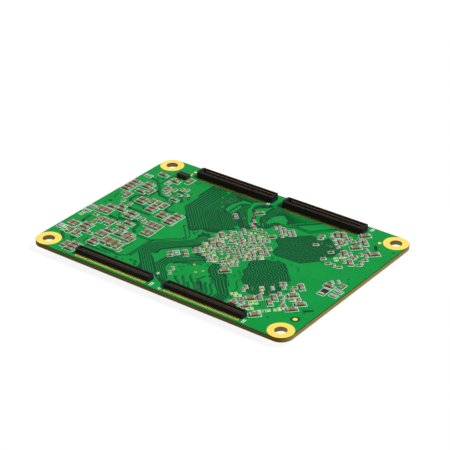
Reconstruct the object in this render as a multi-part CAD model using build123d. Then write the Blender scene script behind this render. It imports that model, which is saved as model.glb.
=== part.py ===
from build123d import *
import math
import os

# A credit-card sized computer module, lying with its connector side up.
# All sizes are in millimetres. The origin is the centre of the four screw holes, on the
# connector side of the board. X runs along the board, Y towards the wide connectors.

# Circuit board and plated screw holes
board_length = 70.0
board_width = 50.8
board_thickness = 1.0
edge_margin = 3.0
screw_hole_diameter = 2.8
plating_thickness = 0.1
land_thickness = 0.05
land_edge_gap = 0.05

# Rows of contacts, shared by the four connectors
contacts_per_row = 50
contact_pitch = 0.4
contact_width = 0.2
contact_thickness = 0.12
tail_thickness = 0.15
passage_clearance = 0.1

# Places of the connectors along and across the board
connector_spacing = 25.0
connector_offset = 0.15
back_edge_gap = 1.6
front_edge_gap = 1.5

# Wide connectors of the back pair
back_height = 1.55
back_near_wall = 0.92
back_slot_width = 1.55
back_far_wall = 0.33
back_end_wall = 0.64
back_pocket = 0.56
back_tail_length = 0.9

# Narrow connectors of the front pair
front_height = 1.2
front_near_wall = 0.78
front_slot_width = 0.87
front_far_wall = 0.35
front_end_wall = 0.45
front_pocket = 0.2
front_tail_length = 0.8

# Moulded details of every connector housing
slot_floor = 0.35
leaf_top_gap = 0.35
lead_in = 0.12
corner_chamfer = 0.25
notch_length = 0.5
notch_depth = 0.4
notch_spacing = 10.0

# Ceramic chips with two metal ends, length, width and height
medium_length = 2.1
medium_width = 0.95
medium_height = 0.5
medium_cap = 0.35
bulk_length = 2.8
bulk_width = 1.25
bulk_height = 0.6
bulk_cap = 0.4
compact_length = 1.6
compact_width = 0.8
compact_height = 0.45
compact_cap = 0.25
cap_wrap = 0.03
small_length = 1.05
small_width = 0.55
small_height = 0.3
chip_gap = 0.38
layout_step = 1.0

# Wound chips and the one large resistor
bead_length = 1.35
bead_width = 0.8
bead_height = 0.25
resistor_length = 2.7
resistor_width = 1.3
resistor_height = 0.3

# Six-leaded voltage regulator, its place counted from the board's left edge
regulator_x = 9.05
regulator_y = 19.15
regulator_length = 2.95
regulator_width = 1.55
regulator_height = 1.0
regulator_standoff = 0.12
regulator_draft = 8.0
regulator_lead_pitch = 0.95
regulator_lead_width = 0.4
regulator_lead_thickness = 0.13
regulator_lead_reach = 0.68
regulator_foot = 0.38

# Centre and size of the turned processor package under the board
processor_x = 3.9
processor_y = -0.6
processor_turn = 45.0
processor_side = 17.0
processor_substrate_height = 0.5
processor_lid_side = 15.0
processor_lid_height = 0.85
processor_lid_corner = 1.0
lid_chamfer = 0.15

# Memory chips, which lie turned like the processor
memory_x = 24.2
memory_y = 12.2
memory_length = 12.0
memory_width = 9.0
memory_height = 0.95

# Other chips under the board; those with an X counted from the board's left edge come first
storage_x = 21.0
storage_y = -13.5
storage_length = 11.5
storage_width = 13.0
storage_height = 1.0
power_chip_x = 11.5
power_chip_y = 3.0
power_chip_side = 7.0
power_chip_height = 0.85
network_chip_x = 23.0
network_chip_y = 14.0
network_chip_side = 6.0
network_chip_height = 0.85
flash_x = 3.9
flash_y = 18.0
flash_length = 6.0
flash_width = 5.0
flash_height = 0.75
inductor_length = 2.5
inductor_width = 2.0
inductor_height = 1.2
crystal_length = 3.2
crystal_width = 2.5
crystal_height = 0.8

hole_spacing_x = board_length - 2 * edge_margin
hole_spacing_y = board_width - 2 * edge_margin
left_edge = -board_length / 2
right_edge = board_length / 2
hidden_face = -board_thickness
screw_hole_radius = screw_hole_diameter / 2
barrel_radius = screw_hole_radius + plating_thickness
land_radius = edge_margin - land_edge_gap
row_length = (contacts_per_row - 1) * contact_pitch + contact_width
back_width = back_near_wall + back_slot_width + back_far_wall
front_width = front_near_wall + front_slot_width + front_far_wall
back_near_face = board_width / 2 - back_edge_gap - back_width
front_near_face = front_edge_gap - board_width / 2

on_centre = (Align.CENTER, Align.CENTER, Align.MIN)
from_near_face = (Align.CENTER, Align.MIN, Align.MIN)


def block(length, width, height, align=on_centre):
    return Box(length, width, height, align=align)


def save(solids, name):
    export_step(Compound(children=list(solids)), f"parts/{name}.step")


def screw_holes():
    return GridLocations(hole_spacing_x, hole_spacing_y, 2, 2)


# The board: one rounded sheet whose corners are concentric with the screw holes
def circuit_board():
    outline = RectangleRounded(board_length, board_width, edge_margin)
    for place in screw_holes():
        outline -= place * Circle(barrel_radius)
    return extrude(outline, -board_thickness)


# One plated hole: a barrel through the board with a land on each face
def hole_ring():
    top = land_thickness
    bottom = hidden_face - land_thickness
    profile = Polyline(
        (screw_hole_radius, bottom),
        (land_radius, bottom),
        (land_radius, hidden_face),
        (barrel_radius, hidden_face),
        (barrel_radius, 0),
        (land_radius, 0),
        (land_radius, top),
        (screw_hole_radius, top),
        close=True,
    )
    return revolve(Plane.XZ * make_face(profile), Axis.Z)


# A connector housing stands with its near wall on local Y = 0 and opens upwards
class Connector:
    def __init__(self, height, near_wall, slot_width, far_wall, end_wall, pocket, tail):
        self.height = height
        self.near_wall = near_wall
        self.slot_width = slot_width
        self.far_wall = far_wall
        self.tail = tail
        self.width = near_wall + slot_width + far_wall
        self.slot_length = row_length + 2 * pocket
        self.length = self.slot_length + 2 * end_wall
        self.leaf_top = height - leaf_top_gap

    # The way that one row's tails take under a wall and up through the slot's floor
    def passage(self, wall):
        length = row_length + 2 * passage_clearance
        reach = wall + contact_thickness
        under_wall = block(length, reach, tail_thickness, from_near_face)
        through_floor = block(length, contact_thickness, slot_floor, from_near_face)
        return under_wall + Pos(0, wall, 0) * through_floor

    def far_side(self, shape):
        return Pos(0, self.width, 0) * mirror(shape, Plane.XZ)

    def housing(self):
        body = block(self.length, self.width, self.height, from_near_face)
        body = chamfer(body.edges().filter_by(Axis.Z), corner_chamfer)
        slot = block(self.slot_length, self.slot_width, self.height, from_near_face)
        body -= Pos(0, self.near_wall, slot_floor) * slot
        rims = body.faces().sort_by(Axis.Z)[-1].edges().filter_by(Axis.X).sort_by(Axis.Y)
        body = chamfer([rims[1], rims[-2]], lead_in)
        body -= self.passage(self.near_wall)
        body -= self.far_side(self.passage(self.far_wall))
        notch_width = self.near_wall / 2
        notch = block(notch_length, notch_width, notch_depth, from_near_face)
        notch_base = self.height - notch_depth
        for x in (-notch_spacing / 2, notch_spacing / 2):
            body -= Pos(x, self.near_wall - notch_width, notch_base) * notch
        return body

    # One bent contact: a tail under the wall that thins outwards, and a spring leaf that
    # rises inside the wall, thins upwards and leans clear of it
    def contact(self, wall):
        profile = Polyline(
            (-self.tail, 0),
            (wall + contact_thickness, 0),
            (wall + contact_thickness, self.leaf_top),
            (wall, tail_thickness),
            close=True,
        )
        face = Plane.YZ * make_face(profile)
        return extrude(face, contact_width / 2, both=True)

    def contact_row(self, wall):
        one = self.contact(wall)
        return [place * one for place in GridLocations(contact_pitch, 0, contacts_per_row, 1)]


# Directions of a chip's length on the board
along_x = 0
along_y = 90
rising = processor_turn
falling = processor_turn - 90


def strip(x, y, count, step_x, step_y):
    return [(x + step_x * i, y + step_y * i) for i in range(count)]


# Places near the processor are given along its own two directions, falling then rising
def turned(*places):
    cosine = math.cos(math.radians(processor_turn))
    sine = math.sin(math.radians(processor_turn))
    return [(a * sine + b * cosine, b * sine - a * cosine) for a, b in places]


# Copies of a shape at each group's places, all lying in the group's direction. The places
# are counted in layout steps from the edge of the board that the group keeps its distance to
def spread(shape, groups, edge):
    solids = []
    for direction, places in groups:
        for x, y in places:
            seat = Pos(edge + x * layout_step, y * layout_step, 0)
            solids.append(seat * Rot(0, 0, direction) * shape)
    return solids


# The ceramic body of a chip stands clear inside its two ends, which wrap round it
def chip_body(length, width, height, cap):
    body = block(length - 2 * cap, width - 2 * cap_wrap, height - 2 * cap_wrap)
    return Pos(0, 0, cap_wrap) * body


def chip_ends(length, width, height, cap):
    shift = (length - cap) / 2
    end = block(cap, width, height)
    return [Pos(-shift, 0, 0) * end, Pos(shift, 0, 0) * end]


def save_capped(name, edge, *kinds):
    bodies = []
    ends = []
    for size, groups in kinds:
        bodies += spread(chip_body(*size), groups, edge)
        for end in chip_ends(*size):
            ends += spread(end, groups, edge)
    save(bodies, f"{name}_bodies")
    save(ends, f"{name}_ends")


# Six-leaded regulator: a moulding drafted both ways over three bent leads on each side
def regulator_body():
    half_height = (regulator_height - regulator_standoff) / 2
    outline = Rectangle(regulator_length, regulator_width)
    upper = extrude(outline, half_height, taper=regulator_draft)
    lower = extrude(outline, -half_height, taper=regulator_draft)
    middle = regulator_standoff + half_height
    return Pos(left_edge + regulator_x, regulator_y, middle) * (upper + lower)


def regulator_leads():
    middle = (regulator_height + regulator_standoff) / 2
    top = middle + regulator_lead_thickness / 2
    knee = regulator_lead_reach - regulator_foot
    profile = Polyline(
        (0, top - regulator_lead_thickness),
        (0, top),
        (knee, top),
        (knee, regulator_lead_thickness),
        (regulator_lead_reach, regulator_lead_thickness),
        (regulator_lead_reach, 0),
        (knee - regulator_lead_thickness, 0),
        (knee - regulator_lead_thickness, top - regulator_lead_thickness),
        close=True,
    )
    lead = extrude(Plane.YZ * make_face(profile), regulator_lead_width / 2, both=True)
    leads = []
    for side in (0, 180):
        turned_lead = Rot(0, 0, side) * Pos(0, regulator_width / 2, 0) * lead
        for shift in (-regulator_lead_pitch, 0, regulator_lead_pitch):
            leads.append(Pos(left_edge + regulator_x + shift, regulator_y, 0) * turned_lead)
    return leads


# Under the board: chips that hang from its hidden face
def under(x, y, length, width, height, turn=0):
    chip = Box(length, width, height, align=(Align.CENTER, Align.CENTER, Align.MAX))
    return Pos(x, y, hidden_face) * Rot(0, 0, turn) * chip


def processor_substrate():
    height = processor_substrate_height
    return under(processor_x, processor_y, processor_side, processor_side, height, rising)


def processor_lid():
    lid = extrude(Rectangle(processor_lid_side, processor_lid_side), -processor_lid_height)
    lid = chamfer(lid.edges().filter_by(Axis.Z), processor_lid_corner)
    lid = chamfer(lid.faces().sort_by(Axis.Z)[0].edges(), lid_chamfer)
    seat = hidden_face - processor_substrate_height
    return Pos(processor_x, processor_y, seat) * Rot(0, 0, rising) * lid


# Chips on the connector side, placed from the board's left edge
stack = (medium_width + chip_gap) / layout_step
medium_left = [
    (
        along_x,
        strip(1.7, 10.4, 4, 0, -stack)
        + strip(5.1, 11.2, 2, 0, -stack)
        + strip(8.7, 4.55, 2, 0, -stack)
        + strip(13.1, 2.55, 2, 0, -stack)
        + strip(17.0, 1.65, 2, 0, -stack)
        + strip(20.2, 3.05, 4, 0, -stack)
        + strip(6.1, -12.35, 2, 0, -stack)
        + strip(12.1, -16.9, 2, 0, -stack)
        + strip(9.8, -20.8, 3, 0, -stack)
        + [(4.6, 17.05), (8.9, 16.0), (5.5, 7.3)]
        + [(4.9, -2.5), (7.7, -2.5), (10.9, -2.2), (11.0, -3.95)]
        + [(13.2, -6.55), (13.2, -8.65), (16.6, -10.4), (11.8, -11.7), (14.7, -11.7)],
    ),
    (
        along_y,
        strip(10.9, 4.75, 3, 1.8, 0)
        + strip(17.2, -4.0, 3, stack, 0)
        + strip(18.7, -7.3, 2, stack, 0)
        + strip(3.1, -4.9, 3, stack, 0)
        + strip(16.9, -12.2, 2, stack, 0)
        + strip(2.3, -14.0, 2, stack, 0)
        + strip(10.7, -14.0, 2, stack, 0)
        + strip(4.4, -16.7, 2, 1.9, 0)
        + strip(7.3, -8.8, 2, 2.3, 0)
        + [(11.8, 18.1), (7.3, 8.6), (4.0, 4.1), (17.8, -16.05), (7.8, -22.1)],
    ),
]
bulk_left = [(along_y, [(14.2, -15.6), (16.05, -15.7)])]
compact_left = [
    (along_x, [(14.4, 8.7), (6.7, -0.9), (7.4, -15.0)]),
    (along_y, [(9.6, 12.05), (6.3, -10.8)]),
]
small_left = [
    (
        along_y,
        [(10.5, 11.9), (10.5, 10.6), (11.6, 12.6), (11.6, 10.1), (12.8, 13.9)]
        + [(14.0, 14.2), (5.0, 1.3), (7.3, 1.1), (13.0, -2.9), (14.4, -2.9)]
        + [(15.5, -3.7), (6.1, -8.4), (8.45, -8.4), (10.9, -7.7), (18.2, -14.3)]
        + [(19.2, -17.1), (7.6, -17.5)],
    ),
    (
        along_x,
        [(15.2, 12.3), (14.0, 11.3), (2.6, 4.65), (4.3, -7.7), (14.3, -10.0)]
        + [(12.6, -10.6), (9.0, -15.1)],
    ),
]

# Chips round the memory, placed from the board's right edge
medium_right = [
    (
        falling,
        [(-15.5, 17.55), (-14.3, 18.25), (-8.6, 18.25), (-13.1, 15.25), (-9.6, 11.55), (-6.5, 8.95)]
        + [(-9.2, -5.95), (-11.4, -12.95), (-11.1, -15.15)],
    ),
    (
        rising,
        [(-10.3, 20.9), (-9.1, 15.2), (-4.2, 15.1), (-8.8, -9.9), (-5.5, -11.9)]
        + [(-5.8, -14.6), (-15.4, -16.2), (-10.8, -20.9)],
    ),
    (along_x, [(-4.7, -2.0), (-17.0, -19.85)]),
]
compact_right = [
    (falling, [(-14.0, -14.7)]),
    (rising, [(-14.3, -19.3)]),
    (along_y, [(-2.3, -0.6)]),
]
small_right = [
    (
        falling,
        [(-10.5, 18.95), (-9.4, 17.45), (-12.2, 17.85), (-16.7, 16.75), (-15.3, 15.75), (-12.2, 15.85)]
        + [(-14.0, 14.45), (-12.7, 13.35), (-6.7, 15.85), (-5.75, 15.2), (-6.5, 13.45)]
        + [(-5.3, 13.55), (-4.6, 10.35), (-8.6, 12.25), (-10.0, 10.35), (-7.9, 8.65), (-8.8, 5.85)]
        + [(-13.5, -7.45), (-12.9, -6.95), (-12.2, -8.25), (-9.9, -8.25), (-18.9, -12.85)]
        + [(-18.7, -14.15), (-15.0, -12.65), (-11.4, -10.95), (-10.1, -11.65), (-9.2, -12.95)]
        + [(-6.8, -10.35), (-15.8, -18.35), (-17.5, -18.75)],
    ),
    (
        rising,
        [(-11.1, 17.25), (-12.8, 17.05), (-18.0, 15.15), (-17.8, 14.05), (-7.1, 11.75), (-7.0, 10.75)]
        + [(-4.5, 11.85), (-4.4, 9.25), (-17.1, 11.15), (-12.5, 10.35), (-12.3, 6.95), (-10.3, 5.85)]
        + [(-7.4, 5.95), (-10.3, -6.95), (-8.0, -11.35), (-8.1, -14.45), (-16.6, -17.55)],
    ),
]
beads_left = [
    (along_y, [(8.0, 14.75), (1.2, -16.35)]),
    (along_x, [(1.9, 14.65), (1.1, -4.95), (1.3, -7.25)]),
]
beads_right = [(along_x, strip(-1.85, -2.75, 2, 0, -1.95))]
small_beads_right = [(falling, [(-4.1, 0.65), (-5.1, -0.35), (-14.0, -9.95)])]
resistors_right = [(along_y, [(-4.4, -4.45)])]

# Chips over the processor, placed from the board's centre, most of them in turned rows
medium_centre = [
    (falling, turned((6.7, 7.7), (-2.2, 0.4), (1.7, -0.85), (0.3, -2.3)) + [(-3.1, -9.4)]),
    (rising, [(8.55, -10.4)]),
]
compact_centre = [
    (rising, turned((0.0, 11.3)) + [(-0.6, 15.4)]),
    (falling, turned((-4.6, 8.0)) + [(-4.3, 10.9)]),
]
beads_centre = [(falling, [(-4.9, -10.3)])]
small_beads_centre = [(falling, turned((8.2, -3.45)))]
small_centre = [
    (
        falling,
        turned(
            *[(-4.0, 12.9), (-3.96, 13.95), (-2.76, 13.79), (-1.56, 13.72), (-0.14, 13.72)],
            *[(-3.08, 14.74), (-1.87, 14.74), (-1.63, 15.49), (-0.35, 15.49)],
            *[(-1.7, 16.55), (-0.28, 16.55)],
            *[(1.7, 10.3), (5.2, 10.1), (0.4, 9.5), (1.7, 9.3), (5.2, 9.1), (6.5, 9.0)],
            *[(-7.9, 8.6), (-1.0, 8.4), (1.4, 8.3), (2.8, 8.4), (-6.2, 7.7)],
            *[(8.9, 7.1), (-0.8, 7.1), (0.6, 7.1), (-2.2, 6.5), (-0.5, 6.2), (0.9, 6.0)],
            *[(3.7, 6.4), (2.5, 5.6), (6.2, 6.0), (7.4, 6.1), (8.7, 5.8), (-4.1, 5.6)],
            *[(-2.8, 5.6), (5.4, 5.2), (6.4, 4.5), (8.8, 4.8), (7.5, 5.3)],
            *[(-2.6, 4.6), (-0.5, 4.6), (0.7, 4.7), (1.9, 4.6), (0.7, 3.9), (2.2, 3.8)],
            *[(4.8, 3.8), (6.1, 3.8), (8.8, 3.6), (-3.3, 2.5), (1.1, 2.7), (4.7, 3.0)],
            *[(4.7, 2.2), (-0.4, 1.8), (7.6, 1.5), (9.5, 1.9), (10.9, 1.6), (6.6, 0.3)],
            *[(9.4, 0.5), (10.8, 0.65), (1.8, 0.15), (5.5, -1.0), (11.6, -1.4)],
            *[(-2.2, -0.9), (-0.8, -1.3), (2.4, -1.9), (3.9, -2.6), (2.1, -3.05)],
            *[(3.4, -3.6), (0.9, -4.3), (2.2, -4.2), (6.5, -4.0), (8.0, -4.3)],
            *[(5.2, -5.0), (3.7, -5.6), (3.7, -6.6)],
        )
        + [(-1.3, -16.2), (-0.8, -18.0)],
    ),
    (
        rising,
        turned(
            *[(-2.0, 9.9), (-3.5, 9.2), (7.8, 9.0), (3.8, 8.5), (5.0, 7.4), (2.2, 6.9)],
            *[(3.6, 4.5), (-2.2, 3.5), (-0.5, 3.1), (3.4, 2.3), (6.5, 2.6), (7.7, 2.6)],
            *[(-2.1, 1.7), (1.1, 1.7), (5.3, 1.1), (3.2, 0.7), (4.3, 0.6), (8.2, -0.8)],
            *[(9.4, -0.6), (11.3, -0.3), (4.1, -1.1), (9.5, -1.9), (7.4, -2.6)],
            *[(4.8, -4.0), (2.7, -5.9)],
        )
        + [(-6.1, -11.0), (-5.3, -12.2)],
    ),
]

# Chips under the board: coils, crystals and capacitors
coils = [(along_x, strip(5.4, 7.0, 4, 0, -2.8) + strip(17.6, 6.0, 3, 0, -2.8))]
crystals = [(along_x, [(16.5, 14.0), (25.5, 8.3)])]
hidden_medium = [(along_x, [(11.5, 8.6)] + strip(11.5, -2.4, 2, 0, -stack))]
hidden_small = [
    (falling, turned(*strip(5.0, 19.9, 4, 2.2, 0))),
    (rising, turned(*strip(19.9, 5.0, 4, 0, 2.2))),
]

os.makedirs("parts", exist_ok=True)
save([circuit_board()], "circuit_board")
save([place * hole_ring() for place in screw_holes()], "mounting_hole_rings")

back = Connector(
    back_height,
    back_near_wall,
    back_slot_width,
    back_far_wall,
    back_end_wall,
    back_pocket,
    back_tail_length,
)
front = Connector(
    front_height,
    front_near_wall,
    front_slot_width,
    front_far_wall,
    front_end_wall,
    front_pocket,
    front_tail_length,
)
for pair, connector, near_face in (
    ("back", back, back_near_face),
    ("front", front, front_near_face),
):
    for side, sign in (("left", -1), ("right", 1)):
        seat = Pos(connector_offset + sign * connector_spacing / 2, near_face, 0)
        save([seat * connector.housing()], f"housing_{pair}_{side}")
        near_row = connector.contact_row(connector.near_wall)
        far_row = [connector.far_side(c) for c in connector.contact_row(connector.far_wall)]
        save([seat * contact for contact in near_row], f"contacts_{pair}_{side}_near")
        save([seat * contact for contact in far_row], f"contacts_{pair}_{side}_far")

save([regulator_body()], "regulator_body")
save(regulator_leads(), "regulator_leads")

medium_size = (medium_length, medium_width, medium_height, medium_cap)
compact_size = (compact_length, compact_width, compact_height, compact_cap)
bulk_size = (bulk_length, bulk_width, bulk_height, bulk_cap)
left_kinds = [(medium_size, medium_left), (compact_size, compact_left), (bulk_size, bulk_left)]
right_kinds = [(medium_size, medium_right), (compact_size, compact_right)]
centre_kinds = [(medium_size, medium_centre), (compact_size, compact_centre)]
save_capped("capacitors_left", left_edge, *left_kinds)
save_capped("capacitors_right", right_edge, *right_kinds)
save_capped("capacitors_centre", 0, *centre_kinds)

small_chip = block(small_length, small_width, small_height)
save(spread(small_chip, small_left, left_edge), "small_chips_left")
save(spread(small_chip, small_right, right_edge), "small_chips_right")
save(spread(small_chip, small_centre, 0), "small_chips_centre")
bead = block(bead_length, bead_width, bead_height)
save(
    spread(bead, beads_left, left_edge)
    + spread(bead, beads_right, right_edge)
    + spread(bead, beads_centre, 0)
    + spread(small_chip, small_beads_right, right_edge)
    + spread(small_chip, small_beads_centre, 0),
    "ferrite_beads",
)
resistor = block(resistor_length, resistor_width, resistor_height)
save(spread(resistor, resistors_right, right_edge), "large_resistor")

save([processor_substrate()], "processor_substrate")
save([processor_lid()], "processor_lid")
memory_size = (memory_length, memory_width, memory_height)
save([under(memory_x, memory_y, *memory_size, falling)], "memory_chip_upper")
save([under(memory_x, -memory_y, *memory_size, rising)], "memory_chip_lower")
storage_size = (storage_length, storage_width, storage_height)
save([under(left_edge + storage_x, storage_y, *storage_size)], "storage_chip")
power_chip_size = (power_chip_side, power_chip_side, power_chip_height)
save([under(left_edge + power_chip_x, power_chip_y, *power_chip_size)], "power_chip")
network_chip_size = (network_chip_side, network_chip_side, network_chip_height)
network_place = (left_edge + network_chip_x, network_chip_y)
save([under(*network_place, *network_chip_size)], "network_chip")
save([under(flash_x, flash_y, flash_length, flash_width, flash_height)], "boot_memory_chip")
coil = under(0, 0, inductor_length, inductor_width, inductor_height)
save(spread(coil, coils, left_edge), "power_coils")
crystal = under(0, 0, crystal_length, crystal_width, crystal_height)
save(spread(crystal, crystals, left_edge), "clock_crystals")
hidden_chip = under(0, 0, medium_length, medium_width, medium_height)
hidden_small_chip = under(0, 0, small_length, small_width, small_height)
save(
    spread(hidden_chip, hidden_medium, left_edge) + spread(hidden_small_chip, hidden_small, 0),
    "hidden_side_capacitors",
)
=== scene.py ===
from math import acos, atan2, cos, hypot, pi, radians, sin, sqrt, tau
from types import SimpleNamespace

import bmesh
import bpy
from mathutils import Matrix, Vector


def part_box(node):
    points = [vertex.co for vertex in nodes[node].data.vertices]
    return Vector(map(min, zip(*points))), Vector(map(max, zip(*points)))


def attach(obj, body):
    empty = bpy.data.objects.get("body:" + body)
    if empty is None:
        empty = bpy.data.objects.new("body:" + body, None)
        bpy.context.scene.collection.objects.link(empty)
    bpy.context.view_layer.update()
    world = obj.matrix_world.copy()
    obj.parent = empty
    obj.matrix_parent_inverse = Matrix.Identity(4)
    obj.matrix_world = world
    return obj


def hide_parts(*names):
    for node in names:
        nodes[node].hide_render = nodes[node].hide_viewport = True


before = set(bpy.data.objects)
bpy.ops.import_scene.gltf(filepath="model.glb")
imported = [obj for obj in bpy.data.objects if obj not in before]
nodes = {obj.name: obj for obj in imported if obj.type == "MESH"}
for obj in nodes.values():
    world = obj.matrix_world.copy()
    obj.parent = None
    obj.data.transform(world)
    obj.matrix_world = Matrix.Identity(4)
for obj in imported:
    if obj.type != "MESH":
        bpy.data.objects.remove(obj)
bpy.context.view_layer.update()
mm = 0.001
board = {"halfLength": 35.0, "hiddenFace": -1.0, "holeX": 32.0, "holeY": 22.4}  # in millimetres
slack = {"sameWay": 0.99, "merge": 0.0005}
print("frame loaded:", len(nodes), "nodes")

# Small helpers for working as by hand


def setAll(thing, settings):
    for name, value in settings.items():
        setattr(thing, name, value)


def objectMode():
    bpy.ops.object.mode_set(mode="OBJECT")


def deselectAll():
    if bpy.context.mode != "OBJECT":
        objectMode()
    bpy.ops.object.select_all(action="DESELECT")


def pick(piece):
    deselectAll()
    piece.select_set(True)
    bpy.context.view_layer.objects.active = piece


def setPlace(piece):  # the object goes to the origin, its place into the mesh
    pick(piece)
    bpy.ops.object.transform_apply(location=True, rotation=True, scale=True)
    return piece


def addBlock(size, middle):  # a box in millimetres, to be shaped further
    deselectAll()
    bpy.ops.mesh.primitive_cube_add(size=1, location=[v * mm for v in middle])
    piece = bpy.context.object
    piece.scale = [v * mm for v in size]
    return setPlace(piece)


def editFaces(piece, way=None):  # edit mode, with the faces selected that look one way, or all
    pick(piece)
    bpy.ops.object.mode_set(mode="EDIT")
    bpy.ops.mesh.select_mode(type="FACE")
    bpy.ops.mesh.select_all(action="DESELECT" if way else "SELECT")
    if way:
        shape = bmesh.from_edit_mesh(piece.data)
        for face in shape.faces:
            if face.normal.dot(Vector(way)) > slack["sameWay"]:
                face.select_set(True)
        shape.select_flush_mode()
        bmesh.update_edit_mesh(piece.data)


def extrude(x, y, z):  # the selected faces, by a way in millimetres
    bpy.ops.mesh.extrude_region_move(TRANSFORM_OT_translate={"value": (x * mm, y * mm, z * mm)})


def resize(scale, pivot):
    bpy.ops.transform.resize(value=scale, center_override=[v * mm for v in pivot])


def roundEdges(piece, width, segments=1, way=None):
    editFaces(piece, way)
    bpy.ops.mesh.bevel(offset=width * mm, segments=segments, affect="EDGES")
    objectMode()


def modified(piece, kind, **settings):  # the piece with a modifier of this kind applied
    setAll(piece.modifiers.new(kind, kind), settings)
    pick(piece)
    bpy.ops.object.modifier_apply(modifier=kind)
    return piece


def placedCopy(piece, matrix):
    copy = piece.copy()
    copy.data = piece.data.copy()
    copy.data.transform(matrix)
    bpy.context.scene.collection.objects.link(copy)
    return copy


def joinAll(pieces, name):
    pick(pieces[0])
    for piece in pieces:
        piece.select_set(True)
    bpy.ops.object.join()
    pieces[0].name = pieces[0].data.name = name
    return pieces[0]


def discard(piece):
    bpy.data.objects.remove(piece)


def seat(x, y, turn, z=0.0):  # the matrix that puts a piece modelled at the origin in its place
    return Matrix.Translation((x * mm, y * mm, z * mm)) @ Matrix.Rotation(turn, 4, "Z")


def seatUnder(x, y, turn):  # upside down against the hidden face
    return seat(x, y, turn, board["hiddenFace"]) @ Matrix.Rotation(pi, 4, "X")


def dress(piece, finish):
    piece.data.materials.clear()
    piece.data.materials.append(finishes[finish])


def finishPiece(piece, finish):
    dress(piece, finish)
    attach(piece, "root")
    return piece


# Pieces that lie flat on the board, on its upper or its hidden face


def levels(thick, hidden):
    face = board["hiddenFace"]
    return (face - thick, face) if hidden else (0, thick)


def curvePiece(name, paths, closed, **settings):
    curve = bpy.data.curves.new(name, "CURVE")
    setAll(curve, {"dimensions": "3D", "twist_mode": "Z_UP"})
    for path in paths:
        spline = curve.splines.new("POLY")
        spline.points.add(len(path) - 1)
        for point, (x, y) in zip(spline.points, path):
            point.co = (x * mm, y * mm, 0, 1)
        spline.use_cyclic_u = closed
    setAll(curve, settings)
    piece = bpy.data.objects.new(name, curve)
    bpy.context.scene.collection.objects.link(piece)
    return piece


def cleanMesh(piece):  # the curve becomes a mesh that faces outwards
    pick(piece)
    bpy.ops.object.convert(target="MESH")
    piece = setPlace(bpy.context.object)
    editFaces(piece)
    bpy.ops.mesh.remove_doubles(threshold=slack["merge"] * mm)
    bpy.ops.mesh.normals_make_consistent(inside=False)
    objectMode()
    return piece


# A strip of copper or ink along each path
def flatStrips(name, paths, width, thick, finish, hidden=False, closed=False):
    low, high = levels(thick, hidden)
    half = width / 2
    section = [(-half, low), (half, low), (half, high), (-half, high)]
    profile = curvePiece(name + "Profile", [section], True, dimensions="2D")
    strips = curvePiece(name, paths, closed, bevel_mode="OBJECT", bevel_object=profile, use_fill_caps=True)
    finishPiece(cleanMesh(strips), finish)
    discard(profile)


# An area with the inner ones of its outlines cut out of it
def flatArea(name, outlines, thick, finish, hidden=False):
    low, high = levels(thick, hidden)
    half = (high - low) / 2
    area = curvePiece(name, outlines, True, dimensions="2D", fill_mode="BOTH", extrude=half * mm)
    area.location.z = (high + low) / 2 * mm
    finishPiece(cleanMesh(area), finish)


def flatDiscs(name, places, radius, sides, thick, finish, slot="board", hidden=False):
    flatArea(name, [circlePath(x, y, radius, sides) for x, y in places], thick, finish, hidden)


def circlePath(x, y, radius, sides, first=0.0, last=tau):  # a whole circle, or an arc of it
    step = (last - first) / sides
    turns = [first + step * i for i in range(sides if last - first >= tau else sides + 1)]
    return [(x + radius * cos(turn), y + radius * sin(turn)) for turn in turns]


def boxPath(x, y, length, width, turn=0.0):
    c, s = cos(turn), sin(turn)
    return [
        (x + a * length / 2 * c - b * width / 2 * s, y + a * length / 2 * s + b * width / 2 * c)
        for a, b in ((-1, -1), (1, -1), (1, 1), (-1, 1))
    ]


def insideOf(x, y, outline):  # whether a ray to the right crosses the outline an odd number of times
    inside = False
    for (ax, ay), (bx, by) in zip(outline, outline[1:] + outline[:1]):
        if (ay > y) != (by > y) and x < (bx - ax) * (y - ay) / (by - ay) + ax:
            inside = not inside
    return inside


# Small helpers for shader nodes


def fillSockets(tree, node, inputs):  # each input gets its value, or a link from another node
    for socket, value in inputs.items():
        if isinstance(value, bpy.types.NodeSocket):
            tree.links.new(value, node.inputs[socket])
        else:
            node.inputs[socket].default_value = value
    return node


def addNode(tree, kind, inputs={}, **settings):
    node = tree.nodes.new("ShaderNode" + kind)
    setAll(node, settings)
    return fillSockets(tree, node, inputs)


def maths(tree, operation, *values):
    return addNode(tree, "Math", dict(enumerate(values)), operation=operation).outputs[0]


def mixColours(tree, factor, first, second):
    mix = addNode(tree, "Mix", {"Factor": factor, "A": first, "B": second}, data_type="RGBA")
    return mix.outputs["Result"]


def zOf(tree, kind, output):  # the upright share of a place or a normal
    return addNode(tree, "SeparateXYZ", {0: addNode(tree, kind).outputs[output]}).outputs["Z"]


def newMaterial(name):
    material = bpy.data.materials.new(name)
    material.use_nodes = True
    return material, material.node_tree, material.node_tree.nodes["Principled BSDF"]


def sRgb(red, green, blue):  # a colour as a picture editor gives it, 0 to 255
    def linear(value):
        value /= 255
        return value / 12.92 if value <= 0.04045 else ((value + 0.055) / 1.055) ** 2.4

    return (linear(red), linear(green), linear(blue), 1.0)


# Camera, light and floor

view = {"azimuth": 36.962, "elevation": 29.738, "distance": 376.97, "roll": -0.07}
lens = {"lens": 134.12, "sensor_width": 36, "shift_x": 0.00674, "shift_y": 0.03539, "clip_start": 0.01}


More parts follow.
